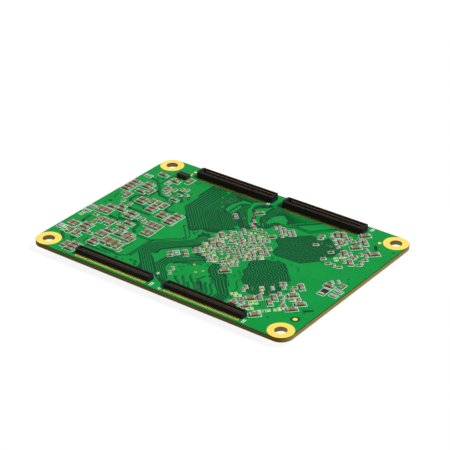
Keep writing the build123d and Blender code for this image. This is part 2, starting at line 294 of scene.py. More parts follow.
def setCamera():
    side, rise = radians(view["azimuth"]), radians(view["elevation"])
    away = Vector((sin(side) * cos(rise), -cos(side) * cos(rise), sin(rise)))
    deselectAll()
    bpy.ops.object.camera_add(location=away * view["distance"] * mm)
    camera = bpy.context.object
    camera.name = "photoCamera"
    turned = Matrix.Rotation(side, 4, "Z") @ Matrix.Rotation(pi / 2 - rise, 4, "X")
    camera.rotation_euler = (turned @ Matrix.Rotation(radians(view["roll"]), 4, "Z")).to_euler()
    setAll(camera.data, lens)
    bpy.context.scene.camera = camera


light = {"sun": 2.8, "sunSpread": 22, "sunFrom": (0.55, 0.3, 0.85), "sunAway": 0.4, "sky": 0.22}


def seenRays(tree):  # one where the camera, a gloss or a clear piece looks
    path = addNode(tree, "LightPath")
    value = path.outputs["Is Camera Ray"]
    for name in ("Is Glossy Ray", "Is Transmission Ray"):
        value = maths(tree, "MAXIMUM", value, path.outputs[name])
    return value


def setLight():
    deselectAll()
    bpy.ops.object.light_add(type="SUN", location=[v * light["sunAway"] for v in light["sunFrom"]])
    sun = bpy.context.object
    sun.name = "softKey"
    sun.data.energy = light["sun"]
    sun.data.angle = radians(light["sunSpread"])
    sun.rotation_euler = Vector(light["sunFrom"]).to_track_quat("Z", "Y").to_euler()
    world = bpy.data.worlds.new("whiteStudio")
    bpy.context.scene.world = world
    world.use_nodes = True
    tree = world.node_tree
    strength = addNode(tree, "MapRange", {"Value": seenRays(tree), "To Min": light["sky"], "To Max": 1.0})
    sky = {"Color": (1, 1, 1, 1), "Strength": strength.outputs["Result"]}
    fillSockets(tree, tree.nodes["Background"], sky)


ground = {"tone": 0.13, "glow": 0.89, "rough": 0.9, "shine": 0.1, "level": -2.352, "size": 3000}


def setFloor():
    deselectAll()
    bpy.ops.mesh.primitive_plane_add(size=ground["size"] * mm, location=(0, 0, ground["level"] * mm))
    floor = bpy.context.object
    floor.name = "studioFloor"
    material, tree, shader = newMaterial("studioFloor")
    glow = maths(tree, "MULTIPLY", seenRays(tree), ground["glow"])
    fillSockets(tree, shader, {
        "Base Color": (ground["tone"],) * 3 + (1,), "Roughness": ground["rough"],
        "Specular IOR Level": ground["shine"], "Emission Color": (1, 1, 1, 1), "Emission Strength": glow,
    })
    floor.data.materials.append(material)


setCamera()
setLight()
setFloor()
bpy.context.scene.view_settings.view_transform = "Standard"
print("camera, light and floor set")

# Shared surface effects, each a node group

effectShape = {"noiseRange": {"From Min": 0.3, "From Max": 0.7}, "toneDetail": 5.0, "glossDetail": 4.0,
               "grainDetail": 3.0, "grainDepth": 0.02, "wallFrom": 0.3}


def objectNoise(tree, scale, detail):
    place = addNode(tree, "TexCoord").outputs["Object"]
    return addNode(tree, "TexNoise", {"Vector": place, "Scale": scale, "Detail": detail}).outputs["Fac"]


def spreadNoise(tree, scale, detail, low, high):
    spread = {"Value": objectNoise(tree, scale, detail), "To Min": low, "To Max": high}
    return addNode(tree, "MapRange", spread | effectShape["noiseRange"]).outputs["Result"]


def driftingTones(tree, entry):  # two tones that drift into each other
    drift = spreadNoise(tree, entry["Scale"], effectShape["toneDetail"], 0.0, entry["Contrast"])
    return mixColours(tree, drift, entry["Tone"], entry["Other Tone"])


def unevenSurface(tree, entry):
    noise = objectNoise(tree, entry["Scale"], effectShape["grainDetail"])
    bump = {"Distance": effectShape["grainDepth"] * mm, "Strength": entry["Strength"], "Height": noise}
    return addNode(tree, "Bump", bump).outputs["Normal"]


def driftingGloss(tree, entry):  # duller and shinier patches
    return spreadNoise(tree, entry["Scale"], effectShape["glossDetail"], entry["Low"], entry["High"])


def sparseSpecks(tree, entry):  # as in ceramic and moulded resin
    place = addNode(tree, "TexCoord").outputs["Object"]
    cells = addNode(tree, "TexVoronoi", {"Vector": place, "Scale": entry["Scale"]})
    return maths(tree, "LESS_THAN", cells.outputs["Distance"], entry["Share"])


def wallsOnly(tree, entry):  # one on walls, nothing on level faces; it lays a finish's painted shade and reflection on its walls
    upright = maths(tree, "ABSOLUTE", zOf(tree, "NewGeometry", "Normal"))
    ends = {"From Min": effectShape["wallFrom"], "From Max": entry["Level"], "To Min": 1.0, "To Max": 0.0}
    return addNode(tree, "MapRange", ends | {"Value": upright}).outputs["Result"]


def newGroup(name, build, output, kind, inputs):  # build gives the socket that the group puts out
    group = bpy.data.node_groups.new(name, "ShaderNodeTree")
    for label, value in inputs.items():
        socket = "NodeSocketFloat" if isinstance(value, float) else "NodeSocketColor"
        group.interface.new_socket(label, in_out="INPUT", socket_type=socket).default_value = value
    group.interface.new_socket(output, in_out="OUTPUT", socket_type="NodeSocket" + kind)
    entry, leave = group.nodes.new("NodeGroupInput"), group.nodes.new("NodeGroupOutput")
    group.links.new(build(group, entry.outputs), leave.inputs[0])
    return group


white = (1, 1, 1, 1)
effects = {row[0]: newGroup(*row) for row in (
    ("toneDrift", driftingTones, "Colour", "Color",
     {"Tone": white, "Other Tone": white, "Scale": 300.0, "Contrast": 0.5}),
    ("fineGrain", unevenSurface, "Normal", "Vector", {"Scale": 4000.0, "Strength": 0.2}),
    ("glossDrift", driftingGloss, "Roughness", "Float", {"Low": 0.3, "High": 0.5, "Scale": 900.0}),
    ("specks", sparseSpecks, "Mask", "Float", {"Scale": 6000.0, "Share": 0.2}),
    ("steepSides", wallsOnly, "Mask", "Float", {"Level": 0.75}),
)}


def effect(tree, name, values={}):
    return addNode(tree, "Group", values, node_tree=effects[name]).outputs[0]


# What a finish has unless its entry says otherwise
plainLook = dict(patches=2500, contrast=0.6, metal=0.0, shine=0.5, rough=(0.3, 0.45), grain=5000,
                 grainStrength=0.2, speckShare=0.2, wallShadeAndReflectionPatches=900)


def surface(name, look):
    look = plainLook | look
    material, tree, shader = newMaterial(name)

    def drift(tones, values):
        tone, other = (sRgb(*colour) for colour in tones)
        return effect(tree, "toneDrift", {"Tone": tone, "Other Tone": other} | values)

    colour = drift(look["tones"], {"Scale": look["patches"], "Contrast": look["contrast"]})
    if "speckTone" in look:
        mask = effect(tree, "specks", {"Scale": look["speckScale"], "Share": look["speckShare"]})
        colour = mixColours(tree, mask, colour, sRgb(*look["speckTone"]))
    # Painted shade and reflection: the walls get a darker tone of their own
    if "wallShadeAndReflection" in look:
        wallShadeAndReflection = drift(look["wallShadeAndReflection"], {"Scale": look["wallShadeAndReflectionPatches"]})
        colour = mixColours(tree, effect(tree, "steepSides"), colour, wallShadeAndReflection)
    low, high = look["rough"]
    fillSockets(tree, shader, {
        "Base Color": colour, "Metallic": look["metal"], "Specular IOR Level": look["shine"],
        "Roughness": effect(tree, "glossDrift", {"Low": low, "High": high}),
        "Normal": effect(tree, "fineGrain", {"Scale": look["grain"], "Strength": look["grainStrength"]}),
    })
    return material


# Finishes

mask = dict(patches=400, shine=0.03, rough=(0.32, 0.45), grain=2500)
ceramic = dict(patches=1500, shine=0.05, rough=(0.45, 0.6), grain=9000, grainStrength=0.3)
looks = {  # colours from 0 to 255, sizes of patches and grain as a noise's scale
    "maskOverCopper": mask | dict(tones=((14, 159, 69), (11, 148, 62)), patches=120, contrast=0.9,
        rough=(0.3, 0.42), grainStrength=0.12),
    "maskOverLaminate": mask | dict(tones=((17, 80, 50), (14, 69, 44))),
    "maskOverGap": mask | dict(tones=((16, 108, 58), (14, 95, 52))),
    # The plating's walls are dark brown: painted shade, as the hole walls get little light
    "plating": dict(tones=((255, 228, 104), (252, 217, 90)), patches=500, metal=1.0, rough=(0.28, 0.4),
        grain=3500, grainStrength=0.25, wallShadeAndReflection=((126, 110, 62), (78, 66, 34))),
    "housingPlastic": dict(tones=((43, 42, 42), (36, 35, 35)), patches=900, shine=0.03, rough=(0.5, 0.65),
        grain=7000, grainStrength=0.35, speckTone=(54, 52, 52), speckScale=9000, speckShare=0.18),
    "frontContacts": dict(tones=((255, 232, 122), (248, 216, 102)), metal=0.55, rough=(0.25, 0.42),
        grainStrength=0.1),
    "backContacts": dict(tones=((176, 132, 76), (150, 108, 58)), metal=1.0, grainStrength=0.1),
    "slotContacts": dict(tones=((136, 102, 56), (116, 86, 44)), metal=0.3, grainStrength=0.1),
    # Tin's walls are grey-green and darker: a painted reflection of the green board, and painted shade
    "tin": dict(tones=((194, 187, 187), (178, 171, 171)), patches=1800, metal=0.15, shine=0.1,
        rough=(0.35, 0.55), grain=6000, grainStrength=0.4, wallShadeAndReflection=((150, 178, 152), (122, 150, 128))),
    # The brown chips' walls are a darker olive: painted shade on their sides
    "brownCeramic": ceramic | dict(tones=((150, 128, 100), (138, 116, 88)), speckTone=(124, 102, 76),
        speckScale=11000, speckShare=0.22, wallShadeAndReflection=((132, 120, 80), (110, 99, 62))),
    "greyCeramic": ceramic | dict(tones=((182, 175, 177), (166, 160, 162)), speckTone=(112, 108, 110),
        speckScale=10000),
    "blackMoulding": dict(tones=((58, 57, 58), (50, 49, 50)), patches=800, shine=0.04, rough=(0.5, 0.68),
        grain=8000, grainStrength=0.4, speckTone=(68, 66, 68), speckScale=9000, speckShare=0.15),
    "resistorFilm": dict(tones=((48, 47, 49), (41, 40, 42)), patches=800, shine=0.04, rough=(0.45, 0.6),
        grain=8000, grainStrength=0.3),
    "greenLaminate": dict(tones=((34, 96, 56), (28, 82, 48)), patches=700, shine=0.2, rough=(0.4, 0.55),
        grain=4000),
    "nickelPlate": dict(tones=((206, 204, 200), (190, 188, 184)), patches=350, metal=1.0, rough=(0.32, 0.46),
        grain=4500, grainStrength=0.3),
    "darkFerrite": dict(tones=((78, 77, 80), (66, 65, 68)), patches=1200, shine=0.3, rough=(0.5, 0.65),
        speckTone=(98, 97, 100), speckScale=8000, grain=9000, grainStrength=0.5),
    "ink": dict(tones=((232, 248, 236), (214, 240, 222)), shine=0.2, rough=(0.5, 0.65), grain=8000,
        grainStrength=0.3),
    "barePads": dict(tones=((238, 228, 96), (216, 214, 92)), metal=0.3),
    "solder": dict(tones=((190, 186, 182), (168, 164, 158)), patches=3000, metal=0.8, rough=(0.28, 0.5),
        grainStrength=0.4),
    # The regulator's leads are painted near black: painted shade, as they lie in shadow beside its body
    "shadedLeads": dict(tones=((50, 47, 38), (40, 37, 30)), metal=0.3, shine=0.1, rough=(0.4, 0.55)),
    "warmPads": dict(tones=((218, 158, 64), (192, 136, 52)), metal=0.8),
    "dimPads": dict(tones=((142, 118, 60), (112, 98, 50)), metal=0.3, rough=(0.4, 0.55)),
    "viaHole": dict(tones=((18, 58, 36), (14, 46, 30)), patches=900, shine=0.1, rough=(0.5, 0.6)),
}
finishes = {name: surface(name, look) for name, look in looks.items()}

boardLook = {"laminate": sRgb(175, 153, 82), "fibre": sRgb(147, 127, 64), "copperLine": sRgb(118, 66, 30),
             "layers": 7, "weave": 2600, "weaveDetail": 4, "maskDepth": 0.035, "copperDepth": 0.06,
             "copperHalf": 0.02, "levelFrom": 0.5}


# The board's faces carry mask, its cut edges show the pressed layers
def boardSurface():
    material = surface("boardSheet", looks["maskOverLaminate"])
    tree = material.node_tree
    shader = tree.nodes["Principled BSDF"]
    maskColour = shader.inputs["Base Color"].links[0].from_socket
    height = zOf(tree, "TexCoord", "Object")
    upright = maths(tree, "ABSOLUTE", zOf(tree, "NewGeometry", "Normal"))
    onFace = maths(tree, "GREATER_THAN", upright, boardLook["levelFrom"])
    bands = maths(tree, "PINGPONG", maths(tree, "MULTIPLY", height, -boardLook["layers"] / mm), 1.0)
    woven = maths(tree, "MULTIPLY", bands, objectNoise(tree, boardLook["weave"], boardLook["weaveDetail"]))
    edge = mixColours(tree, woven, boardLook["laminate"], boardLook["fibre"])
    fromCopper = maths(tree, "ABSOLUTE", maths(tree, "ADD", height, boardLook["copperDepth"] * mm))
    onCopper = maths(tree, "LESS_THAN", fromCopper, boardLook["copperHalf"] * mm)
    edge = mixColours(tree, onCopper, edge, boardLook["copperLine"])
    top = maths(tree, "GREATER_THAN", height, -boardLook["maskDepth"] * mm)
    bottom = maths(tree, "LESS_THAN", height, (boardLook["maskDepth"] + board["hiddenFace"]) * mm)
    lip = maths(tree, "MAXIMUM", maths(tree, "MAXIMUM", top, bottom), onFace)
    tree.links.new(mixColours(tree, lip, edge, maskColour), shader.inputs["Base Color"])
    return material


finishes["boardSheet"] = boardSurface()
print("finishes made:", len(finishes))

cadFinishes = [  # part of a CAD piece's name, and its finish
    ("circuit_board", "boardSheet"), ("mounting_hole_rings", "plating"), ("regulator_leads", "shadedLeads"),
    ("large_resistor", "resistorFilm"), ("ferrite_beads", "greyCeramic"),
    ("processor_substrate", "greenLaminate"), ("processor_lid", "nickelPlate"),
    ("power_coils", "darkFerrite"), ("clock_crystals", "nickelPlate"), ("housing_", "housingPlastic"),
    # Far rows take the darker backContacts tone: painted shade of the housing over the front connectors' far
    # feet
    ("_far", "backContacts"), ("contacts_front", "frontContacts"), ("contacts_back", "backContacts"),
    ("_ends", "tin"), ("_bodies", "brownCeramic"), ("small_chips", "brownCeramic"),
    ("hidden_side_capacitors", "brownCeramic"), ("", "blackMoulding"),
]
for name, node in nodes.items():
    dress(node, next(finish for part, finish in cadFinishes if part in name))
print("finishes given to the CAD pieces")

# The chips' places, read from the CAD pieces

# In millimetres; "body" is the length of the ceramic, "cap" of a metal end, "frame" the printed frame's size
chipKinds = {
    "medium": dict(body=1.4, length=2.1, width=0.95, height=0.5, cap=0.35, frame=(2.8, 1.36)),
    "broad": dict(body=1.4, length=2.1, width=1.2, height=0.5, cap=0.35, frame=(2.8, 1.6)),
    "compact": dict(body=1.1, length=1.6, width=0.8, height=0.45, cap=0.25, frame=(2.2, 1.2)),
    "bulk": dict(body=2.0, length=2.8, width=1.25, height=0.6, cap=0.4, frame=(3.7, 1.75)),
    "small": dict(body=1.05, length=1.05, width=0.55, height=0.3, cap=0.22, frame=(1.34, 0.8)),
    "bead": dict(body=1.35, length=1.35, width=0.8, height=0.25, cap=0.3, frame=(2.05, 1.3)),
    "resistor": dict(body=2.7, length=2.7, width=1.3, height=0.3, cap=0.6, frame=(3.3, 1.85)),
}
reading = {"merge": 0.001, "sharpFrom": 0.5, "turnSlack": 0.1}


def looseParts(shape):  # the vertices of each loose part of a mesh
    found, seen = [], set()
    for start in shape.verts:
        if start in seen:
            continue
        loose, waiting = [], [start]
        seen.add(start)
        while waiting:
            vert = waiting.pop()
            loose.append(vert)
            for edge in vert.link_edges:
                other = edge.other_vert(vert)
                if other not in seen:
                    seen.add(other)
                    waiting.append(other)
        found.append(loose)
    return found


# Each loose solid of a node as its middle, direction, sizes, lowest and highest level
def readSolids(name):
    shape = bmesh.new()
    shape.from_mesh(nodes[name].data)
    bmesh.ops.remove_doubles(shape, verts=shape.verts, dist=reading["merge"] * mm)
    found = []
    for loose in looseParts(shape):
        edges = {e for v in loose for e in v.link_edges if len(e.link_faces) == 2}
        sharp = [e for e in edges if e.calc_face_angle() > reading["sharpFrom"]]
        flat = [e for e in sharp if abs(e.verts[0].co.z - e.verts[1].co.z) < reading["merge"] * mm]
        longest = max(flat, key=lambda e: (round(e.calc_length() / mm, 3), -e.index))
        along = longest.verts[1].co - longest.verts[0].co
        turn = atan2(along.y, along.x) % pi
        axis = Vector((cos(turn), sin(turn), 0))
        side = Vector((-sin(turn), cos(turn), 0))
        spans = []
        for way in (axis, side, Vector((0, 0, 1))):
            values = [v.co.dot(way) / mm for v in loose]
            spans.append((min(values), max(values)))
        middle = axis * sum(spans[0]) / 2 + side * sum(spans[1]) / 2
        found.append(SimpleNamespace(
            x=middle.x, y=middle.y, turn=turn, low=spans[2][0], high=spans[2][1],
            length=spans[0][1] - spans[0][0], width=spans[1][1] - spans[1][0],
        ))
    shape.free()
    return sorted(found, key=lambda s: (round(s.x, 3), round(s.y, 3)))


def readChips(node, kinds, group=""):
    found = readSolids(node)
    for solid in found:
        solid.kind = min(kinds, key=lambda kind: abs(chipKinds[kind]["body"] - solid.length))
        solid.group = group
    return found


chips = []  # every chip of the connector side, with the group that it stands in
for group in ("left", "right", "centre"):
    chips += readChips(f"capacitors_{group}_bodies", ("medium", "compact", "bulk"), group)
    chips += readChips(f"small_chips_{group}", ("small",), "small_" + group)
chips += readChips("ferrite_beads", ("bead", "small"), "grey")
chips += readChips("large_resistor", ("resistor",), "grey")
for chip in chips:  # the chips on the right that rise to the right are of a broader kind
    rises = abs(chip.turn - pi / 4) < reading["turnSlack"]
    if chip.group == "right" and chip.kind == "medium" and rises:
        chip.kind = "broad"
print("chips read:", len(chips))

# Metal ends with their solder

solderShape = {"rounding": 0.04, "fullFrom": 0.5, "steps": ((0.03, 0.5), (0.05, 0.22)), "spread": 1.03,
               "level": 0.02, "wrap": 0.012}


# One metal end of a chip that lies along X, with the solder running down to its pad
def modelEnd(kind, wrap):
    size = chipKinds[kind]
    length, width, height = size["cap"] + wrap, size["width"] + 2 * wrap, size["height"] + wrap
    outer = size["length"] / 2 + wrap
    end = addBlock((length, width, height), (outer - length / 2, 0, height / 2))
    rounding = solderShape["rounding"] * min(1, height / solderShape["fullFrom"])
    roundEdges(end, rounding, 1 if kind == "small" else 2)
    editFaces(end, (1, 0, 0))
    for reach, rise in solderShape["steps"]:
        extrude(reach, 0, 0)
        resize((1, solderShape["spread"], rise), (outer, 0, solderShape["level"]))
    objectMode()
    return end


def placeEnds(name, wanted, kinds, wrap=solderShape["wrap"], place=seat):
    pieces = []
    for kind in kinds:
        end = modelEnd(kind, wrap)
        for chip in wanted:
            if chip.kind == kind:
                for turn in (chip.turn, chip.turn + pi):
                    pieces.append(placedCopy(end, place(chip.x, chip.y, turn)))
        discard(end)
    return finishPiece(joinAll(pieces, name), "tin")


def chipsOf(group):
    return [chip for chip in chips if chip.group == group]


for group, kinds in (("left", ["bulk"]), ("right", ["broad"]), ("centre", [])):
    ends = placeEnds(f"chip_ends_{group}", chipsOf(group), ["medium", "compact"] + kinds, 0.0)
    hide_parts(f"capacitors_{group}_ends")
    placeEnds(f"small_ends_{group}", chipsOf("small_" + group), ["small"])
placeEnds("grey_part_ends", chipsOf("grey"), ["small", "bead", "resistor"])
print("metal ends placed")

broadShape = {"inset": 0.03, "over": 0.006, "rounding": 0.03}


# The broader chips' bodies, each round the narrower solid that stands for it
def placeBroadBodies():
    size = chipKinds["broad"]
    width = size["width"] - 2 * broadShape["inset"]
    pieces = []
    for chip in chips:
        if chip.kind == "broad":
            low, high = chip.low, chip.high + broadShape["over"]
            body = addBlock((size["body"], width, high - low), (0, 0, (low + high) / 2))
            roundEdges(body, broadShape["rounding"])
            body.data.transform(seat(chip.x, chip.y, chip.turn))
            pieces.append(body)
    finishPiece(joinAll(pieces, "broad_chip_bodies"), "brownCeramic")


placeBroadBodies()

# Copper areas

pour = {"edgeGap": 0.15, "ringGap": 3.0, "ringSteps": 20, "high": 0.03}


# The copper stops short of the board's edge and goes round the four lands
def pourOutline():
    halfX, reach = board["halfLength"] - pour["edgeGap"], pour["ringGap"]
    holeX, holeY = board["holeX"], board["holeY"]
    alpha = acos((halfX - holeX) / reach)
    quarter, path = pi / 2, []
    for signX, signY, first in ((1, -1, pi * 1.5), (1, 1, 0.0), (-1, 1, quarter), (-1, -1, pi)):
        # from the edge met first, back round the inner side of the land, to the next edge
        begin, finish = first - alpha + tau, first + quarter + alpha
        path += circlePath(signX * holeX, signY * holeY, reach, pour["ringSteps"], finish, begin)[::-1]
    return path


clearings = {
    "upperBus": [(-17.5, 20.3), (-17.5, 14.2), (-16.9, 13.0), (-16.9, 7.9), (-14.4, 5.2), (-14.1, 4.6),
        (-8.9, -0.6), (-7.9, -0.2), (-7.0, 1.4), (-5.0, 1.2), (-3.2, 2.2), (-3.0, 3.8), (-1.8, 4.6),
        (-1.0, 5.6), (0.4, 7.2), (2.4, 8.4), (3.2, 9.8), (4.9, 10.4), (5.6, 12.4), (8.6, 14.0), (9.9, 14.45),
        (14.0, 14.5), (19.5, 20.3), (17.6, 20.3), (13.4, 15.6), (9.9, 15.7), (14.2, 20.3)],
    "upperMemory": [(8.8, 8.6), (12.4, 12.0), (14.8, 14.2), (16.0, 14.1), (16.9, 13.2), (18.0, 13.4),
        (18.6, 15.3), (20.0, 14.6), (21.4, 13.4), (22.4, 12.8), (23.9, 13.2), (24.0, 8.6), (22.9, 7.6),
        (22.7, 5.4), (19.7, 2.1), (13.4, 1.8), (12.0, 2.6), (11.6, 4.4), (11.4, 5.8), (9.7, 7.2)],
    "lowerMemory": [(10.3, -2.6), (12.0, -1.0), (14.2, -0.6), (15.8, 0.3), (17.4, 0.2), (22.5, -5.0),
        (22.2, -5.7), (20.9, -6.8), (22.9, -9.4), (23.1, -10.8), (21.9, -13.0), (20.6, -14.2), (17.9, -14.6),
        (16.6, -14.0), (15.0, -12.2), (13.2, -11.0), (12.7, -9.2), (11.3, -7.7), (11.5, -6.0), (10.6, -4.6)],
    "lowerBus": [(-2.6, -0.4), (-3.4, 0.2), (-4.2, 1.0), (-5.0, 0.4), (-6.0, 0.7), (-5.6, -0.6),
        (-6.2, -1.2), (-5.4, -1.8), (-5.6, -3.0), (-6.4, -4.4), (-7.0, -5.0), (-9.2, -6.8), (-11.8, -9.3),
        (-12.1, -10.2), (-12.1, -15.0), (-8.9, -18.2), (-8.3, -19.3), (-8.3, -21.2), (-2.2, -21.2),
        (-1.5, -21.4), (-0.6, -22.2), (0.2, -22.4), (1.2, -23.5), (2.2, -23.6), (1.0, -21.3), (0.3, -20.0),
        (-1.2, -18.4), (-3.2, -16.6), (-3.2, -14.6), (-2.2, -14.2), (-1.2, -13.1), (0.9, -12.4),
        (2.4, -11.2), (3.0, -9.9), (2.5, -8.8), (0.6, -7.7), (-1.0, -7.6), (-2.7, -5.0), (-2.6, -2.0)],
    "lowerCentre": [(4.4, -9.3), (5.6, -8.6), (6.9, -9.8), (9.6, -11.2), (12.9, -14.5), (13.2, -15.6),
        (15.2, -17.6), (15.6, -18.3), (15.6, -21.2), (12.6, -21.2), (12.6, -18.4), (10.1, -16.2),
        (9.2, -14.9), (7.8, -14.3), (6.9, -14.3), (6.7, -13.3), (5.7, -12.8), (4.6, -11.0)],
    "leftPatch": [(-32.3, 0.3), (-32.0, -0.4), (-32.6, -0.9), (-33.2, -0.2)],
    "backEdge": [(0.0, 22.9), (0.2, 20.6), (2.2, 20.5), (2.2, 21.0), (0.9, 22.2)],
    "rightSmudge": [(28.5, 18.8), (29.1, 19.0), (30.0, 17.9), (30.5, 17.0), (30.0, 16.8), (29.1, 17.6)],
    "nearResistor": [(31.9, -12.6), (33.2, -12.1), (33.3, -12.6), (32.0, -13.8), (31.3, -13.6)],
}
# Plated discs in round clearings: the place and both radii
targets = [(28.95, 20.35, 0.45, 0.62), (31.95, -17.2, 0.55, 1.05), (-25.2, 22.9, 0.4, 0.6)]
targetSides = 24
for x, y, disc, clearing in targets:
    clearings[f"target{x}"] = circlePath(x, y, clearing, targetSides)
islands = {  # copper left standing inside the clearings
    "bend": [(-7.4, 18.3), (-5.0, 18.3), (-4.9, 17.6), (-6.2, 17.3), (-7.1, 16.2), (-7.1, 12.6),
        (-6.8, 11.4), (-8.4, 12.5), (-8.4, 15.4), (-7.7, 16.6)],
    "stripe": [(-6.6, 15.8), (-6.0, 15.8), (-5.8, 15.0), (-5.8, 11.6), (-6.4, 11.4), (-6.6, 12.2)],
    "smallLeft": [(-9.7, 13.4), (-9.2, 13.5), (-9.1, 12.4), (-9.7, 12.3)],
    "topLeft": [(-13.4, 19.6), (-12.2, 19.8), (-11.8, 18.5), (-12.4, 18.7)],
    "diagonal": [(-4.9, 18.9), (-4.2, 19.6), (-2.9, 20.2), (-1.8, 20.2), (-2.6, 19.2), (-3.5, 18.2),
        (-3.6, 17.2), (-3.4, 16.2), (-2.8, 15.2), (-1.3, 13.4), (-0.8, 12.4), (-0.3, 11.2), (0.6, 9.9),
        (0.1, 9.9), (-1.3, 11.6), (-2.4, 13.1), (-3.9, 15.1), (-4.2, 16.6), (-4.6, 17.6)],
    "roundChip": [(0.4, 20.2), (1.2, 20.2), (0.3, 19.4), (0.15, 19.0), (0.15, 16.9), (0.6, 15.8),
        (0.65, 13.6), (1.6, 12.2), (2.8, 10.8), (2.4, 10.6), (1.1, 11.6), (0.3, 12.7), (-0.3, 13.5),
        (-1.9, 15.5), (-2.7, 16.4), (-2.3, 17.2), (-1.2, 18.0), (-0.1, 19.2)],
    "rightBlock": [(4.5, 17.9), (5.2, 17.4), (6.6, 16.4), (7.3, 14.5), (5.2, 14.4), (4.3, 13.6), (3.9, 12.4),
        (2.9, 12.6), (2.9, 15.9), (3.8, 17.3)],
    "patchLow": [(-1.4, 7.7), (-0.3, 7.3), (-0.2, 6.4), (-1.6, 6.5)],
    "slash": [(2.2, 12.2), (2.6, 12.2), (3.8, 10.9), (3.4, 10.8)],
    "busIsland": [(-8.5, -11.4), (-5.2, -7.6), (-3.8, -6.4), (-1.4, -7.4), (-1.6, -8.6), (-4.6, -11.4),
        (-5.9, -13.0), (-6.1, -16.6), (-7.4, -15.2), (-8.9, -14.2), (-9.3, -13.7), (-8.1, -12.9)],
    "memoryCorner": [(20.4, 13.0), (21.4, 12.8), (21.2, 12.3), (20.3, 12.5)],
}
flatArea("copper_areas_top", [pourOutline(), *clearings.values(), *islands.values()], pour["high"],
         "maskOverCopper")
print("copper areas laid")

# Contacts' feet, their pads and the ribs between them

rowShape = {"pitch": 0.4, "count": 50, "leaf": 0.12, "ribWidth": 0.13, "ribFoot": 0.36, "ribHeadGap": 0.3,
            "ribTip": 0.08, "padWidth": 0.27, "padOver": {"back": 0.14, "front": 0.02}, "padHigh": 0.05,
            "padInset": 0.02, "padCrown": 0.004, "footWidth": 0.2, "footHigh": 0.13, "footRounding": 0.02,
            "footThins": (1, 1, 0.55), "ribThins": (0.6, 0.3, 1)}
nose = {"size": (0.22, 0.13, 0.42), "below": 0.36, "narrows": (0.85, 1, 0.4)}


def inRow(piece, count, pitch=rowShape["pitch"]):
    return modified(piece, "ARRAY", use_relative_offset=False, use_constant_offset=True,
                    constant_offset_displace=(pitch * mm, 0, 0), count=count)


# A pad and a foot that thins outwards, modelled beyond a wall on Y = 0 and reaching towards -Y
def modelFoot(reach, over):
    length, high = reach + over, rowShape["padHigh"]
    pad = addBlock((rowShape["padWidth"], length, high), (0, -length / 2, high / 2))
    editFaces(pad, (0, 0, 1))
    bpy.ops.mesh.inset(thickness=rowShape["padInset"] * mm)
    bpy.ops.transform.translate(value=(0, 0, rowShape["padCrown"] * mm))
    high = rowShape["footHigh"]
    foot = addBlock((rowShape["footWidth"], reach, high), (0, -reach / 2, high / 2))
    editFaces(foot, (0, -1, 0))
    resize(rowShape["footThins"], (0, -reach, 0))
    roundEdges(foot, rowShape["footRounding"])
    return joinAll([foot, pad], "foot")


# The bulge of a spring leaf, where the mating contact presses
def modelNose(high):
    deep, tall = nose["size"][1:]
    middle = high - nose["below"] - tall / 2
    piece = addBlock(nose["size"], (0, rowShape["leaf"] + deep / 2, middle))
    editFaces(piece, (0, 1, 0))
    resize(nose["narrows"], (0, 0, middle))
    objectMode()
    return piece


def modelRib(low, high):
    deep = rowShape["leaf"]
    rib = addBlock((rowShape["ribWidth"], deep, high - low), (0, deep / 2, (low + high) / 2))
    editFaces(rib, (0, 0, 1))
    extrude(0, 0, rowShape["ribTip"])
    resize(rowShape["ribThins"], (0, 0, high))
    objectMode()
    return rib


def placeRow(piece, name, x, y, turn, count, finish):
    piece.data.transform(seat(x, y, turn))
    piece.name = name
    finishPiece(inRow(piece, count), finish)


def dressConnector(pair, side):
    name, count = f"{pair}_{side}", rowShape["count"]
    low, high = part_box("housing_" + name)
    for row, wall, turn in (("near", low.y, 0.0), ("far", high.y, pi)):
        near = row == "near"
        rowLow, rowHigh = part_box(f"contacts_{name}_{row}")
        firstX = rowLow.x / mm + rowShape["footWidth"] / 2
        foot = modelFoot((wall - rowLow.y if near else rowHigh.y - wall) / mm, rowShape["padOver"][pair])
        # The front connectors' far rows get the darker tone: painted shade of the housing's shadow
        finish = "frontContacts" if pair == "front" and near else "backContacts"
        placeRow(foot, f"contact_feet_{name}_{row}", firstX, wall / mm, turn, count, finish)
        inner = (rowHigh.y if near else rowLow.y) / mm
        leafY = inner + (-rowShape["leaf"] if near else rowShape["leaf"])
        rib = modelRib(rowShape["ribFoot"], high.z / mm - rowShape["ribHeadGap"])
        placeRow(modelNose(high.z / mm), f"slot_contacts_{name}_{row}", firstX, leafY, turn, count,
                 "slotContacts")
        placeRow(rib, f"slot_ribs_{name}_{row}", firstX - rowShape["pitch"] / 2, leafY, turn, count + 1,
                 "housingPlastic")


for pair in ("back", "front"):
    for side in ("left", "right"):
        dressConnector(pair, side)
print("connectors dressed")

# Tracks

trackWidth = {
    "copper_tracks": 0.2, "broad_copper_tracks": 0.17, "thin_copper_tracks": 0.11,
    "fine_copper_tracks": 0.13, "finest_copper_tracks": 0.085, "lower_copper_tracks": 0.17,
}
copperHigh = {"track": 0.027, "gap": 0.034}
